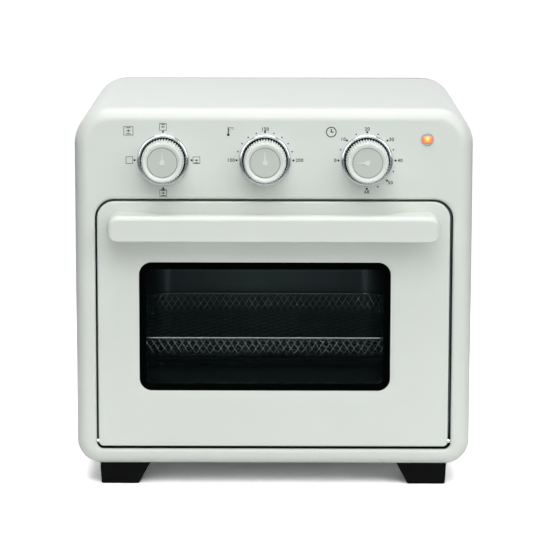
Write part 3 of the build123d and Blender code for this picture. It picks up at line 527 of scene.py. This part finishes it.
lamp_low, lamp_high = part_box("lamp_ring")
lamp_centre = ((lamp_low[0] + lamp_high[0]) / 2, (lamp_low[2] + lamp_high[2]) / 2 + 1.0 * mm)
lamp_r = 0.97 * (lamp_high[2] - lamp_low[2]) / 2
ring_reach = lamp_high[1] - lamp_low[1]
ring_edge = 0.6 * mm
lens_seat = ring_reach - 0.5 * mm
lamp_profile = [(lamp_r, 0, 0)]
for cosine, sine in quarter(5):
    lamp_profile.append((lamp_r - ring_edge * (1 - cosine), ring_reach - ring_edge * (1 - sine), 0))
lamp_profile.append((lamp_r * 0.86, ring_reach, 0))
lamp_profile.append((lamp_r * 0.8, lens_seat, 0))
ring_metal = grain(finish("ring_metal", shade(176, 188, 190), 0.45, 0.2), 1 * mm, 0.002 * mm)
lamp_trim = turned_piece(
    "lamp_trim", lamp_centre, lamp_profile, ring_metal, "oven", "chrome", steps=64, capped=True
)
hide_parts("lamp_ring")

lens_half_width, lens_half_height = 4.7 * mm, 2.9 * mm
lens_mid_z = lamp_centre[1] - 0.3 * mm
lens_reach = 2.6 * mm
lens_slope, lens_corner = 1.2 * mm, 1.4 * mm
glow_core, glow_edge = 0.8 * mm, 4.6 * mm
amber = finish("amber_lens", shade(255, 126, 40), 0.18)
tune(shader_of(amber), {"Emission Color": shade(255, 104, 30), "Emission Strength": 0.8})
amber_tree = amber.node_tree
glow_place = add(amber_tree, "TexCoord")
glow_spot = (lamp_centre[0], front_y - lens_reach, lamp_centre[1] + 0.6 * mm)
glow_near = add(amber_tree, "VectorMath", {1: glow_spot}, operation="DISTANCE")
glow_ramp = level_map(amber_tree, glow_core, glow_edge)
glow_colour = add(amber_tree, "ValToRGB")
glow_stops = glow_colour.color_ramp.elements
glow_stops[0].color = shade(255, 240, 196)
glow_stops[1].color = shade(236, 70, 22)
glow_stops.new(0.5).color = shade(255, 150, 66)
join(
    amber_tree,
    (glow_place, "Object", glow_near, 0),
    (glow_near, "Value", glow_ramp, "Value"),
    (glow_ramp, "Result", glow_colour, "Fac"),
    (glow_colour, "Color", shader_of(amber), "Emission Color"),
)
lens_rings = []
for cosine, sine in quarter(5):
    pull = lens_slope * (1 - cosine)
    outline = rounded(
        2 * (lens_half_width - pull),
        lens_mid_z - lens_half_height + pull,
        lens_mid_z + lens_half_height - pull,
        lens_corner, lens_corner, lamp_centre[0], steps=5,
    )
    lens_rings.append(at_depth(outline, -lens_seat - (lens_reach - lens_seat) * sine))
lens = piece("lamp_lens_dome", *skin_over(lens_rings, capped=True), amber, "oven", "amber_lens")
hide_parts("lamp_lens")

# Door skin: pressed sheet with folded edges, pulled in softly round the window, and
# painted like the body.
door_depth = door_high[1] - front_y
door_edge = 1.4 * mm
door_sheet = 1.5 * mm
door_lift = 0.8 * mm
glass_low, glass_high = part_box("door_glass")
glass_hidden = 8 * mm
window_low_x, window_high_x = glass_low[0] + glass_hidden, glass_high[0] - glass_hidden
window_low_z, window_high_z = glass_low[2] + glass_hidden, glass_high[2] - glass_hidden
window_r = 11.7 * mm
dish_width, dish_depth = 8.5 * mm, 0.9 * mm
window_lip = 0.6 * mm


def door_ring(inset, depth):
    """Outline of the door at this depth, moved inwards by the inset."""
    low, high = door_low[2] + door_lift + inset, door_high[2] - inset
    width = door_high[0] - door_low[0] - 2 * inset
    top_r, bottom_r = opening_top_r - door_gap - inset, opening_bottom_r - door_gap - inset
    return at_depth(rounded(width, low, high, top_r, bottom_r), depth)


def window_ring(inset, depth):
    """Outline of the window at this depth, moved inwards by the inset."""
    radius = window_r - inset
    width = window_high_x - window_low_x - 2 * inset
    middle = (window_low_x + window_high_x) / 2
    outline = rounded(width, window_low_z + inset, window_high_z - inset, radius, radius, middle)
    return at_depth(outline, depth)


door_fold_inset = opening_bottom_r - door_gap - 0.4 * mm
door_fold_depth = door_depth - 1.2 * mm
door_rings = [
    door_ring(door_fold_inset, door_fold_depth),
    door_ring(door_sheet, door_fold_depth),
    door_ring(door_sheet, door_sheet),
    window_ring(0, door_sheet),
]
for cosine, sine in quarter(4):
    door_rings.append(window_ring(-window_lip * (1 - cosine), dish_depth + window_lip * (1 - sine)))
dish_steps = 10
for step in reversed(range(dish_steps)):
    share = step / dish_steps
    door_rings.append(window_ring(
        -window_lip - dish_width + (dish_width * share), dish_depth * share * share,
    ))
for cosine, sine in reversed(quarter(6)):
    door_rings.append(door_ring(door_edge * (1 - cosine), door_edge * (1 - sine)))
door_rings.append(door_ring(0, door_depth))
door_rings.append(door_ring(door_fold_inset, door_depth))
door_skin = piece(
    "door_pressing", *skin_over(door_rings, joined=True), body_paint, "door", "shell_paint"
)
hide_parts("door_skin")

# Inner panel and hinge blocks: a pressed panel of the liner's steel closes the door from
# behind and holds the glass. A plated block in each lower corner takes a hinge pin.
dress("door_inner_panel", liner_steel_painted_shade)
dress("hinge_blocks", plated_steel, 0.3 * mm)

# Hinge pins: turned steel, chromed, pushed from the front frame into the door. They are in
# sight only in the gap at its lower corners.
dress("hinge_pins", chrome)

# Window: a pane of smoked heat-proof glass, clamped behind the door's skin, with a black
# border printed on it that hides its edge.
smoked_glass = finish("smoked_glass", shade(8, 14, 15), 0.03)
tune(shader_of(smoked_glass), {"Alpha": 0.3})
matt(grain(smoked_glass, 30 * mm, 0.002 * mm), 0.06)
dress("door_glass", smoked_glass)
border_ink = matt(grain(finish("border_ink", shade(1, 3, 2), 0.4), 30 * mm, 0.002 * mm), 0.01)
border_width = 6.6 * mm
border_inset = 0.1 * mm
print_depth = door_sheet - 0.05 * mm
print_back = print_depth + 0.04 * mm
border_rings = [
    window_ring(border_inset, print_back),
    window_ring(border_inset, print_depth),
    window_ring(border_width, print_depth),
    window_ring(border_width, print_back),
]
piece("window_border_print", *skin_over(border_rings), border_ink, "door", "window_glass")

# Handle: one painted moulding. A slim bar joins two solid ends that sweep back to the door,
# and every outer edge is rounded.
handle_low, handle_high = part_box("handle")
handle_front = handle_low[1]
handle_half = handle_high[0]
handle_under = 1.1 * mm
handle_mid_z = (handle_low[2] - handle_under + handle_high[2]) / 2
handle_half_height = (handle_high[2] - handle_low[2] + handle_under) / 2
handle_end_r = 10.8 * mm
bar_back = handle_front + 14.5 * mm
block_start = handle_half - 30 * mm
sweep_start = block_start - 24 * mm
handle_top_r, handle_low_r, handle_back_r = 4.6 * mm, 1.4 * mm, 1.6 * mm
end_round = 5 * mm


def back_of_handle(x):
    """How far back the handle goes at this distance from its middle."""
    if x <= sweep_start:
        return bar_back
    if x >= block_start:
        return front_y
    share = (x - sweep_start) / (block_start - sweep_start)
    return bar_back + (front_y - bar_back) * share * share * (3 - 2 * share)


def handle_section(x):
    """Cross-section of the handle at x: a rectangle with soft corners, smaller at the end."""
    reach = abs(x)
    half_height = handle_half_height
    from_end = handle_half - reach
    if from_end < handle_end_r:
        inward = handle_end_r - from_end
        half_height -= handle_end_r - math.sqrt(max(handle_end_r ** 2 - inward ** 2, 0))
    front = handle_front
    if from_end < end_round:
        front += end_round - math.sqrt(max(end_round ** 2 - (end_round - from_end) ** 2, 0))
    back = back_of_handle(reach)
    points = []
    for y, z_side, radius, start in (
        (front, 1, handle_top_r, 90),
        (front, -1, handle_low_r, 180),
        (back, -1, handle_back_r, 270),
        (back, 1, handle_back_r, 0),
    ):
        radius = min(radius, half_height * 0.96)
        middle_y = y + radius if y == front else y - radius
        middle_z = handle_mid_z + z_side * (half_height - radius)
        for step in range(9):
            turn = math.radians(start + 90 * step / 8)
            points.append((x, middle_y + radius * math.cos(turn), middle_z + radius * math.sin(turn)))
    return points


stations = [handle_half * (1 - 0.0005)]
end_turns = [math.pi / 2 * step / 16 for step in range(1, 17)]
stations += [handle_half - handle_end_r * (1 - math.cos(turn)) for turn in end_turns]
stations += [handle_half - handle_end_r - step * 3 * mm for step in range(1, 7)]
stations += [block_start - (block_start - sweep_start) * step / 20 for step in range(21)]
stations += [sweep_start - step * sweep_start / 6 for step in range(1, 7)]
stations = stations + [-x for x in reversed(stations[:-1])]
handle_rings = [handle_section(x) for x in stations]
handle = piece(
    "handle_moulding",
    *skin_over(handle_rings, capped=True),
    body_paint, "door", "shell_plastic", sharp=50.0,
)
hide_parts("handle")


# Frying basket: a pan woven from thin bright wire, hung in a loop of thicker polished wire
# that rides on the middle rails. The weave makes diamonds, and its lower edge is bent in.
def wires(name, runs, thickness, material, body, slot, sides=6, closed=False):
    """One piece with a round wire along each run of points."""
    points, faces = [], []
    for run in runs:
        places = [Vector(place) for place in run]
        first = len(points)
        for step, place in enumerate(places):
            before = places[step - 1] if step or closed else place
            after = places[(step + 1) % len(places)] if closed or step + 1 < len(places) else place
            along = (after - before).normalized()
            aside = along.cross((0, 0, 1)).normalized()
            above = aside.cross(along)
            for side in range(sides):
                turn = 2 * math.pi * side / sides
                spoke = aside * math.cos(turn) + above * math.sin(turn)
                points.append(place + spoke * thickness / 2)
        for row in range(len(places) if closed else len(places) - 1):
            here, there = first + row * sides, first + (row + 1) % len(places) * sides
            for side in range(sides):
                after_side = (side + 1) % sides
                faces.append((here + side, here + after_side, there + after_side, there + side))
    return piece(name, points, faces, material, body, slot, sharp=80.0)


rim_steel = grain(finish("rim_steel", shade(240, 244, 244), 0.16, 1.0), 1.2 * mm, 0.003 * mm)
basket_wire = grain(finish("basket_wire", shade(190, 204, 205), 0.24, 1.0), 1.2 * mm, 0.01 * mm)
rim_low, rim_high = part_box("basket_rim")
pan_low, pan_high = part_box("basket_mesh")
rim_wire = 2.2 * mm
rim_mid_z = rim_high[2] - rim_wire / 2
rim_front_r, rim_rear_r = 12 * mm, 30 * mm
mesh_wire = 1.0 * mm
diamond_pitch = 6.7 * mm
diamond_rise = 10.5 * mm
bend_r = 6 * mm
pan_inset = pan_low[0] - rim_low[0]
rim_inset = pan_inset + 0.3 * mm - rim_wire / 2


def basket_loop(inset, steps=12):
    """Plan of the basket as (x, y) points, moved inwards from its outer edge by the inset."""
    middle = (rim_low[0] + rim_high[0]) / 2
    width = rim_high[0] - rim_low[0] - 2 * inset
    low, high = rim_low[1] + inset, rim_high[1] - inset
    return rounded(width, low, high, rim_rear_r - inset, rim_front_r - inset, middle, steps)


rim_run = [(x, y, rim_mid_z) for x, y in basket_loop(rim_inset)]
rim = wires(
    "basket_rim_wire", [rim_run], rim_wire, rim_steel, "basket", "chrome", sides=16, closed=True
)
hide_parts("basket_rim")

wall_inset = pan_inset + mesh_wire / 2
wall_loop = basket_loop(wall_inset)
wall_lengths = [0.0]
for step, start in enumerate(wall_loop):
    end = wall_loop[(step + 1) % len(wall_loop)]
    wall_lengths.append(wall_lengths[-1] + math.dist(start, end))
straight_drop = rim_mid_z - pan_low[2] - mesh_wire - bend_r
wall_drop = straight_drop + bend_r * math.pi / 2


def pan_point(travel, drop):
    """Point on the pan's wall, this far round its loop and this far down from the rim."""
    travel %= wall_lengths[-1]
    step = 0
    while wall_lengths[step + 1] < travel:
        step += 1
    share = (travel - wall_lengths[step]) / (wall_lengths[step + 1] - wall_lengths[step])
    bend = max(drop - straight_drop, 0) / bend_r
    loop = basket_loop(wall_inset + bend_r * (1 - math.cos(bend)))
    start, end = loop[step], loop[(step + 1) % len(loop)]
    return (
        start[0] + (end[0] - start[0]) * share,
        start[1] + (end[1] - start[1]) * share,
        rim_mid_z - min(drop, straight_drop) - bend_r * math.sin(bend),
    )


around = round(wall_lengths[-1] / diamond_pitch)
wall_steps = 8
wall_runs = []
for lean in (-1, 1):
    for strand in range(around):
        foot = wall_lengths[-1] * strand / around
        shift = lean * diamond_pitch * wall_drop / diamond_rise
        wall_runs.append([
            pan_point(foot + shift * step / wall_steps, wall_drop * step / wall_steps)
            for step in range(wall_steps + 1)
        ])
basket_walls = wires("basket_wall_weave", wall_runs, mesh_wire, basket_wire, "basket", "chrome")
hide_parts("basket_mesh")


def clip_to_loop(start, direction, loop):
    """The stretch of a straight line that lies inside the loop, as two points, or None."""
    hits = []
    for step, a in enumerate(loop):
        b = loop[(step + 1) % len(loop)]
        edge = (b[0] - a[0], b[1] - a[1])
        cross = direction[0] * edge[1] - direction[1] * edge[0]
        if abs(cross) < 1e-12:
            continue
        along = ((a[0] - start[0]) * edge[1] - (a[1] - start[1]) * edge[0]) / cross
        share = ((a[0] - start[0]) * direction[1] - (a[1] - start[1]) * direction[0]) / cross
        if 0 <= share < 1:
            hits.append(along)
    if len(hits) < 2:
        return None
    ends = (min(hits), max(hits))
    return [(start[0] + direction[0] * hit, start[1] + direction[1] * hit) for hit in ends]


floor_z = pan_low[2] + mesh_wire
floor_loop = basket_loop(wall_inset + bend_r)
pan_centre = ((pan_low[0] + pan_high[0]) / 2, (pan_low[1] + pan_high[1]) / 2)
pan_half = (pan_high[0] - pan_low[0]) / 2
floor_slope = Vector((diamond_pitch, diamond_rise)).normalized()
floor_pitch = 2 * diamond_pitch
strands = int(2 * pan_half / floor_pitch) * 2
floor_runs = []
for lean in (-1, 1):
    direction = (lean * floor_slope[0], floor_slope[1])
    for strand in range(-strands, strands + 1):
        start = (pan_centre[0] + strand * floor_pitch, pan_centre[1])
        stretch = clip_to_loop(start, direction, floor_loop)
        if stretch:
            floor_runs.append([(x, y, floor_z + lean * mesh_wire * 0.4) for x, y in stretch])
wires("basket_floor_weave", floor_runs, mesh_wire, basket_wire, "basket", "chrome")

# Crumb tray: a shallow pan pressed from steel, its near-black colour painted shade under the basket.
# It lies loose on the floor of the cooking space, under the lower heaters.
# Painted shade: the tray's near-black colour.
tray_painted_shade = grain(finish("tray_painted_shade", shade(14, 15, 16), 0.3), 2 * mm, 0.008 * mm)
dress("crumb_tray", tray_painted_shade)

# Prints on the panel: dots and numbers round the dials, and small signs for the functions,
# the temperature and the time, all in one dark grey ink.
panel_ink = grain(finish("panel_ink", shade(8, 9, 9), 0.7), 0.5 * mm, 0.001 * mm)
ink_depth = 0.04 * mm
dial_r = 26.4 * mm
dial_drop = 0.4 * mm


def ink_disc(centre, radius, steps=20):
    """Points and faces of a printed dot."""
    turns = [2 * math.pi * step / steps for step in range(steps)]
    edge = [(centre[0] + radius * math.cos(turn), centre[1] + radius * math.sin(turn)) for turn in turns]
    return at_depth(edge, -ink_depth), [tuple(range(steps))]


def ink_stroke(start, end, width):
    """Points and faces of a printed straight line."""
    along = Vector((end[0] - start[0], end[1] - start[1])).normalized()
    aside = Vector((-along[1], along[0])) * width / 2
    corners = [
        (start[0] + aside[0], start[1] + aside[1]),
        (start[0] - aside[0], start[1] - aside[1]),
        (end[0] - aside[0], end[1] - aside[1]),
        (end[0] + aside[0], end[1] + aside[1]),
    ]
    return at_depth(corners, -ink_depth), [(0, 1, 2, 3)]


def ink_print(name, marks):
    """One printed piece from several marks, each given as its points and faces."""
    points, faces = [], []
    for mark_points, mark_faces in marks:
        faces += [tuple(index + len(points) for index in face) for face in mark_faces]
        points += mark_points
    return piece(name, points, faces, panel_ink, "oven", "black_plastic")


font_size, font_weight, font_spacing = 1.42, 0.03, 1.12


def number(name, words, centre, height):
    """Printed number whose digits have that height, centred on that place."""
    text = bpy.data.curves.new(name, "FONT")
    text.body = words
    text.size = font_size * height
    text.offset = font_weight * height
    text.space_character = font_spacing
    text.align_x = "CENTER"
    text.align_y = "CENTER"
    writer = bpy.data.objects.new(name + "_outline", text)
    bpy.context.scene.collection.objects.link(writer)
    written = writer.evaluated_get(bpy.context.evaluated_depsgraph_get())
    outline = bpy.data.meshes.new_from_object(written)
    spots = [(centre[0] + spot.co.x, centre[1] + spot.co.y) for spot in outline.vertices]
    faces = [tuple(face.vertices) for face in outline.polygons]
    bpy.data.objects.remove(writer)
    return piece(name, at_depth(spots, -ink_depth), faces, panel_ink, "oven", "black_plastic")


def on_dial(control_name, degrees, radius):
    """Place at that radius from a knob's centre; degrees run clockwise from straight up."""
    centre = knob_centres[control_name]
    turn = math.radians(90 - degrees)
    return (centre[0] + radius * math.cos(turn), centre[1] - dial_drop + radius * math.sin(turn))


def dial_dots(control_name, places, radius):
    """Printed dots of that radius round a knob, one at each place in degrees."""
    return [ink_disc(on_dial(control_name, degrees, dial_r), radius) for degrees in places]


big_dot, small_dot = 1.0 * mm, 0.72 * mm
number_height = 3.1 * mm
ink_print("function_dots", dial_dots("function", (-90, 0, 90, 180), big_dot))
between = [degrees for step in range(1, 5) for degrees in (18 * step - 90, 18 * step)]
temperature_dots = dial_dots("temperature", (-90, 0, 90), big_dot)
temperature_dots += dial_dots("temperature", between, small_dot)
ink_print("temperature_dots", temperature_dots)
timer_dots = dial_dots("timer", [45 * step - 90 for step in range(7)], big_dot)
timer_dots += dial_dots("timer", [45 * step - 67.5 for step in range(6)], small_dot)
ink_print("timer_dots", timer_dots)
for words, degrees, radius in (("100", -90, 31.6), ("150", 0, 28.9), ("200", 90, 31.9)):
    place = on_dial("temperature", degrees, radius * mm)
    number("temperature_" + words, words, place, number_height)
for words, degrees, aside, above in (
    ("0", -90, -2.9, 0.0),
    ("10", -45, -3.45, 1.0),
    ("20", 0, 0.0, 2.8),
    ("30", 45, 3.8, 0.9),
    ("40", 90, 4.25, 0.0),
    ("50", 135, 3.1, -2.1),
    ("60", 180, 0.0, -3.0),
):
    dot = on_dial("timer", degrees, dial_r)
    number("timer_" + words, words, (dot[0] + aside * mm, dot[1] + above * mm), number_height)

line = 0.46 * mm
bar = 0.75 * mm
sign_half = 3.15 * mm
bar_half = 0.63 * sign_half
bar_drop = 2.35 * mm
title_bar_half = 2.1 * mm
title_bar_drop = 2.8 * mm


def ink_box(centre, half_width, half_height):
    """Four printed strokes round a small rectangle."""
    x, z = centre
    left, right, low, high = x - half_width, x + half_width, z - half_height, z + half_height
    spare = line / 2
    return [
        ink_stroke((left - spare, high), (right + spare, high), line),
        ink_stroke((left - spare, low), (right + spare, low), line),
        ink_stroke((left, low), (left, high), line),
        ink_stroke((right, low), (right, high), line),
    ]


def ink_fan(centre, size):
    """Small printed fan: a dot between two long blades and two short ones."""
    x, z = centre
    return [
        ink_disc(centre, size * 0.36),
        ink_stroke((x - size, z), (x + size, z), line * 1.3),
        ink_stroke((x, z - size * 0.7), (x, z + size * 0.7), line),
    ]


def ink_bar(centre, rise, reach):
    """Short printed bar, that far above the middle of a sign: the mark of a heater."""
    x, z = centre[0], centre[1] + rise
    return ink_stroke((x - reach, z), (x + reach, z), bar)


def function_sign(degrees, radius, fan=True, above=False, below=False):
    """Small box on the function dial, with a fan and a bar for each heater in use."""
    centre = on_dial("function", degrees, radius)
    marks = ink_box(centre, sign_half, sign_half)
    if fan:
        marks += ink_fan(centre, 1.8 * mm)
    if above:
        marks.append(ink_bar(centre, bar_drop, bar_half))
    if below:
        marks.append(ink_bar(centre, -bar_drop, bar_half))
    return marks


signs = function_sign(-90, 31.2 * mm, fan=False)
signs += function_sign(0, 31.0 * mm, above=True)
signs += function_sign(90, 30.9 * mm, below=True)
signs += function_sign(180, 30.7 * mm, above=True, below=True)
title_sign = (-134.4 * mm, 339.4 * mm)
signs += ink_box(title_sign, 4.2 * mm, 4.0 * mm)
signs += ink_fan(title_sign, 2.1 * mm)
signs.append(ink_bar(title_sign, title_bar_drop, title_bar_half))
signs.append(ink_bar(title_sign, -title_bar_drop, title_bar_half))
ink_print("function_signs", signs)

thermometer = (-42.0 * mm, 339.2 * mm)
marks = [ink_disc((thermometer[0], thermometer[1] - 3.3 * mm), 1.3 * mm)]
marks.append(ink_stroke(
    (thermometer[0], thermometer[1] - 3 * mm), (thermometer[0], thermometer[1] + 3.7 * mm), 1.1 * mm
))
for step in range(3):
    height = thermometer[1] + step * 1.6 * mm
    left, right = thermometer[0] + 1 * mm, thermometer[0] + 2 * mm
    marks.append(ink_stroke((left, height), (right, height), line))
ink_print("temperature_sign", marks)
number("temperature_unit", "°C", (thermometer[0] + 3.4 * mm, thermometer[1] + 2.5 * mm), 2.0 * mm)

clock = (53.2 * mm, 338.5 * mm)
clock_r = 4.5 * mm
clock_line = 0.9 * mm
marks = []
for step in range(36):
    start, end = math.radians(10 * step), math.radians(10 * step + 10.5)
    marks.append(ink_stroke(
        (clock[0] + clock_r * math.cos(start), clock[1] + clock_r * math.sin(start)),
        (clock[0] + clock_r * math.cos(end), clock[1] + clock_r * math.sin(end)),
        clock_line,
    ))
clock_hand = 1.2 * clock_line
marks.append(ink_stroke(clock, (clock[0], clock[1] + 3 * mm), clock_hand))
short_hand_start = (clock[0] - clock_line / 2, clock[1])
marks.append(ink_stroke(short_hand_start, (clock[0] + 2.1 * mm, clock[1]), clock_hand))
ink_print("timer_sign", marks)

# Studio: a white floor that keeps the oven's shadow. Close to the oven it is lit paint, and
# it fades into pure white further out. By other light it is pale near and grey far out.
floor_mesh = bpy.data.meshes.new("studio_floor")
floor_half = 6.0
floor_corners = ((-1, -1), (1, -1), (1, 1), (-1, 1))
floor_points = [(floor_half * x, floor_half * y, 0) for x, y in floor_corners]
floor_mesh.from_pydata(floor_points, [], [(0, 1, 2, 3)])
studio_floor = bpy.data.objects.new("studio_floor", floor_mesh)
bpy.context.scene.collection.objects.link(studio_floor)
floor_paint = finish("studio_white", shade(246, 246, 246), 0.9)
floor_tree = floor_paint.node_tree
floor_shader = shader_of(floor_paint)
fade_start, fade_end = 0.5, 1.0
near_shade, far_shade = shade(226, 226, 226), shade(90, 94, 98)
floor_shade = add(floor_tree, "Mix", {"A": near_shade, "B": far_shade}, data_type="RGBA")
floor_seen = add(floor_tree, "BsdfDiffuse", {"Color": (2.15, 2.15, 2.15, 1)})
floor_haze = add(floor_tree, "Emission", {"Color": (0.96, 0.98, 1.0, 1), "Strength": 0.03})
floor_sum = add(floor_tree, "AddShader")
floor_white = add(floor_tree, "Emission", {"Strength": 1.05})
floor_place = add(floor_tree, "TexCoord")
floor_reach = add(floor_tree, "VectorMath", operation="LENGTH")
floor_fade = level_map(floor_tree, fade_start, fade_end)
floor_near = add(floor_tree, "MixShader")
floor_mix = add(floor_tree, "MixShader")
floor_ray = add(floor_tree, "LightPath")
floor_clear = add(floor_tree, "Math", operation="MAXIMUM")
join(
    floor_tree,
    (floor_place, "Object", floor_reach, 0),
    (floor_reach, "Value", floor_fade, "Value"),
    (floor_fade, "Result", floor_shade, "Factor"),
    (floor_shade, "Result", floor_shader, "Base Color"),
    (floor_seen, "BSDF", floor_sum, 0),
    (floor_haze, "Emission", floor_sum, 1),
    (floor_fade, "Result", floor_near, "Fac"),
    (floor_sum, "Shader", floor_near, 1),
    (floor_white, "Emission", floor_near, 2),
    (floor_ray, "Is Camera Ray", floor_clear, 0),
    (floor_ray, "Is Transmission Ray", floor_clear, 1),
    (floor_clear, "Value", floor_mix, "Fac"),
    (floor_shader, "BSDF", floor_mix, 1),
    (floor_near, "Shader", floor_mix, 2),
    (floor_mix, "Shader", floor_tree.nodes["Material Output"], "Surface"),
)
floor_mesh.materials.append(floor_paint)

# Surround: pure white where the camera sees it. Its light on the oven is weaker in front and
# to the left. Bright metal mirrors a white room whose dim ceiling comes lower on the right.
world = bpy.data.worlds.new("studio_surround")
bpy.context.scene.world = world
world.use_nodes = True
world_tree = world.node_tree


def grey_ramp(stops, green=1.0, blue=1.0):
    """Colour ramp of the surround: (position, level) stops, tinted by green and blue."""
    made = add(world_tree, "ValToRGB")
    for position, level in stops[1:-1]:
        made.color_ramp.elements.new(position)
    for stop, (position, level) in zip(made.color_ramp.elements, stops):
        stop.position = position
        stop.color = (level, level * green, level * blue, 1)
    return made


fill = world_tree.nodes["Background"]
tune(fill, {"Strength": 1.9})
fill_place = add(world_tree, "TexCoord")
fill_split = add(world_tree, "SeparateXYZ")
fill_side = level_map(world_tree, -1.0, 1.0, 0.55, 1.2)
fill_rear = level_map(world_tree, -0.2, 0.8, 0.05, 0.4)
fill_level = add(world_tree, "Math", operation="MULTIPLY")
mirror_height = level_map(world_tree, -1.0, 1.0)
mirror_side = level_map(world_tree, -0.25, 0.1)
left_stops = ((0.0, 0.5), (0.5, 0.9), (0.62, 1.0), (0.8, 1.0), (0.9, 0.3), (1.0, 0.3))
right_stops = ((0.0, 0.5), (0.5, 0.95), (0.56, 0.9), (0.62, 0.2), (0.85, 0.12), (1.0, 0.3))
mirror_left = grey_ramp(left_stops, 1.0, 1.01)
mirror_right = grey_ramp(right_stops, 1.01, 1.05)
mirror_mix = add(world_tree, "Mix", data_type="RGBA")
mirror = add(world_tree, "Background")
bright = add(world_tree, "Background", {"Color": (1, 1, 1, 1), "Strength": 1.05})
world_ray = add(world_tree, "LightPath")
world_clear = add(world_tree, "Math", operation="MAXIMUM")
glossy_mix = add(world_tree, "MixShader")
world_mix = add(world_tree, "MixShader")
join(
    world_tree,
    (fill_place, "Generated", fill_split, "Vector"),
    (fill_split, "X", fill_side, "Value"),
    (fill_split, "Y", fill_rear, "Value"),
    (fill_side, "Result", fill_level, 0),
    (fill_rear, "Result", fill_level, 1),
    (fill_level, "Value", fill, "Color"),
    (fill_split, "Z", mirror_height, "Value"),
    (mirror_height, "Result", mirror_left, "Fac"),
    (mirror_height, "Result", mirror_right, "Fac"),
    (fill_split, "X", mirror_side, "Value"),
    (mirror_side, "Result", mirror_mix, "Factor"),
    (mirror_left, "Color", mirror_mix, "A"),
    (mirror_right, "Color", mirror_mix, "B"),
    (mirror_mix, "Result", mirror, "Color"),
    (world_ray, "Is Glossy Ray", glossy_mix, "Fac"),
    (fill, "Background", glossy_mix, 1),
    (mirror, "Background", glossy_mix, 2),
    (world_ray, "Is Camera Ray", world_clear, 0),
    (world_ray, "Is Transmission Ray", world_clear, 1),
    (world_clear, "Value", world_mix, "Fac"),
    (glossy_mix, "Shader", world_mix, 1),
    (bright, "Background", world_mix, 2),
    (world_mix, "Shader", world_tree.nodes["World Output"], "Surface"),
)


# Lamps: two broad soft lamps and a narrow one overhead, one in front above the camera, one
# to the right, and two upright strips low in front that give the metal its bright lines.
def soft_lamp(name, place, aim, width, length, power):
    """Rectangular area lamp at that place, aimed at a point."""
    lamp = bpy.data.lights.new(name, "AREA")
    lamp.shape = "RECTANGLE"
    lamp.size = width
    lamp.size_y = length
    lamp.energy = power
    made = bpy.data.objects.new(name, lamp)
    made.location = place
    made.rotation_euler = (Vector(aim) - Vector(place)).to_track_quat("-Z", "Y").to_euler()
    bpy.context.scene.collection.objects.link(made)


soft_lamp("lamp_overhead", (0.0, -1.0, 2.2), (0, -0.6, 0.2), 1.8, 3.0, 25)
soft_lamp("lamp_rear", (0.0, 0.3, 2.2), (0, 0.2, 0.2), 1.8, 1.4, 3)
soft_lamp("strip_overhead", (0.0, -0.3, 2.2), (0, -0.1, 0.2), 1.8, 0.5, 12)
soft_lamp("lamp_front", (0.0, -2.4, 2.0), (0, 0, 0.2), 2.0, 1.4, 23.5)
soft_lamp("lamp_right", (1.6, -2.0, 1.4), (0, 0, 0.2), 1.2, 1.2, 15)
soft_lamp("strip_left", (-0.95, -3.3, 0.6), (0, 0, 0.2), 0.4, 1.2, 10)
soft_lamp("strip_right", (0.95, -3.3, 0.6), (0, 0, 0.2), 0.4, 1.2, 8)

bpy.context.view_layer.update()
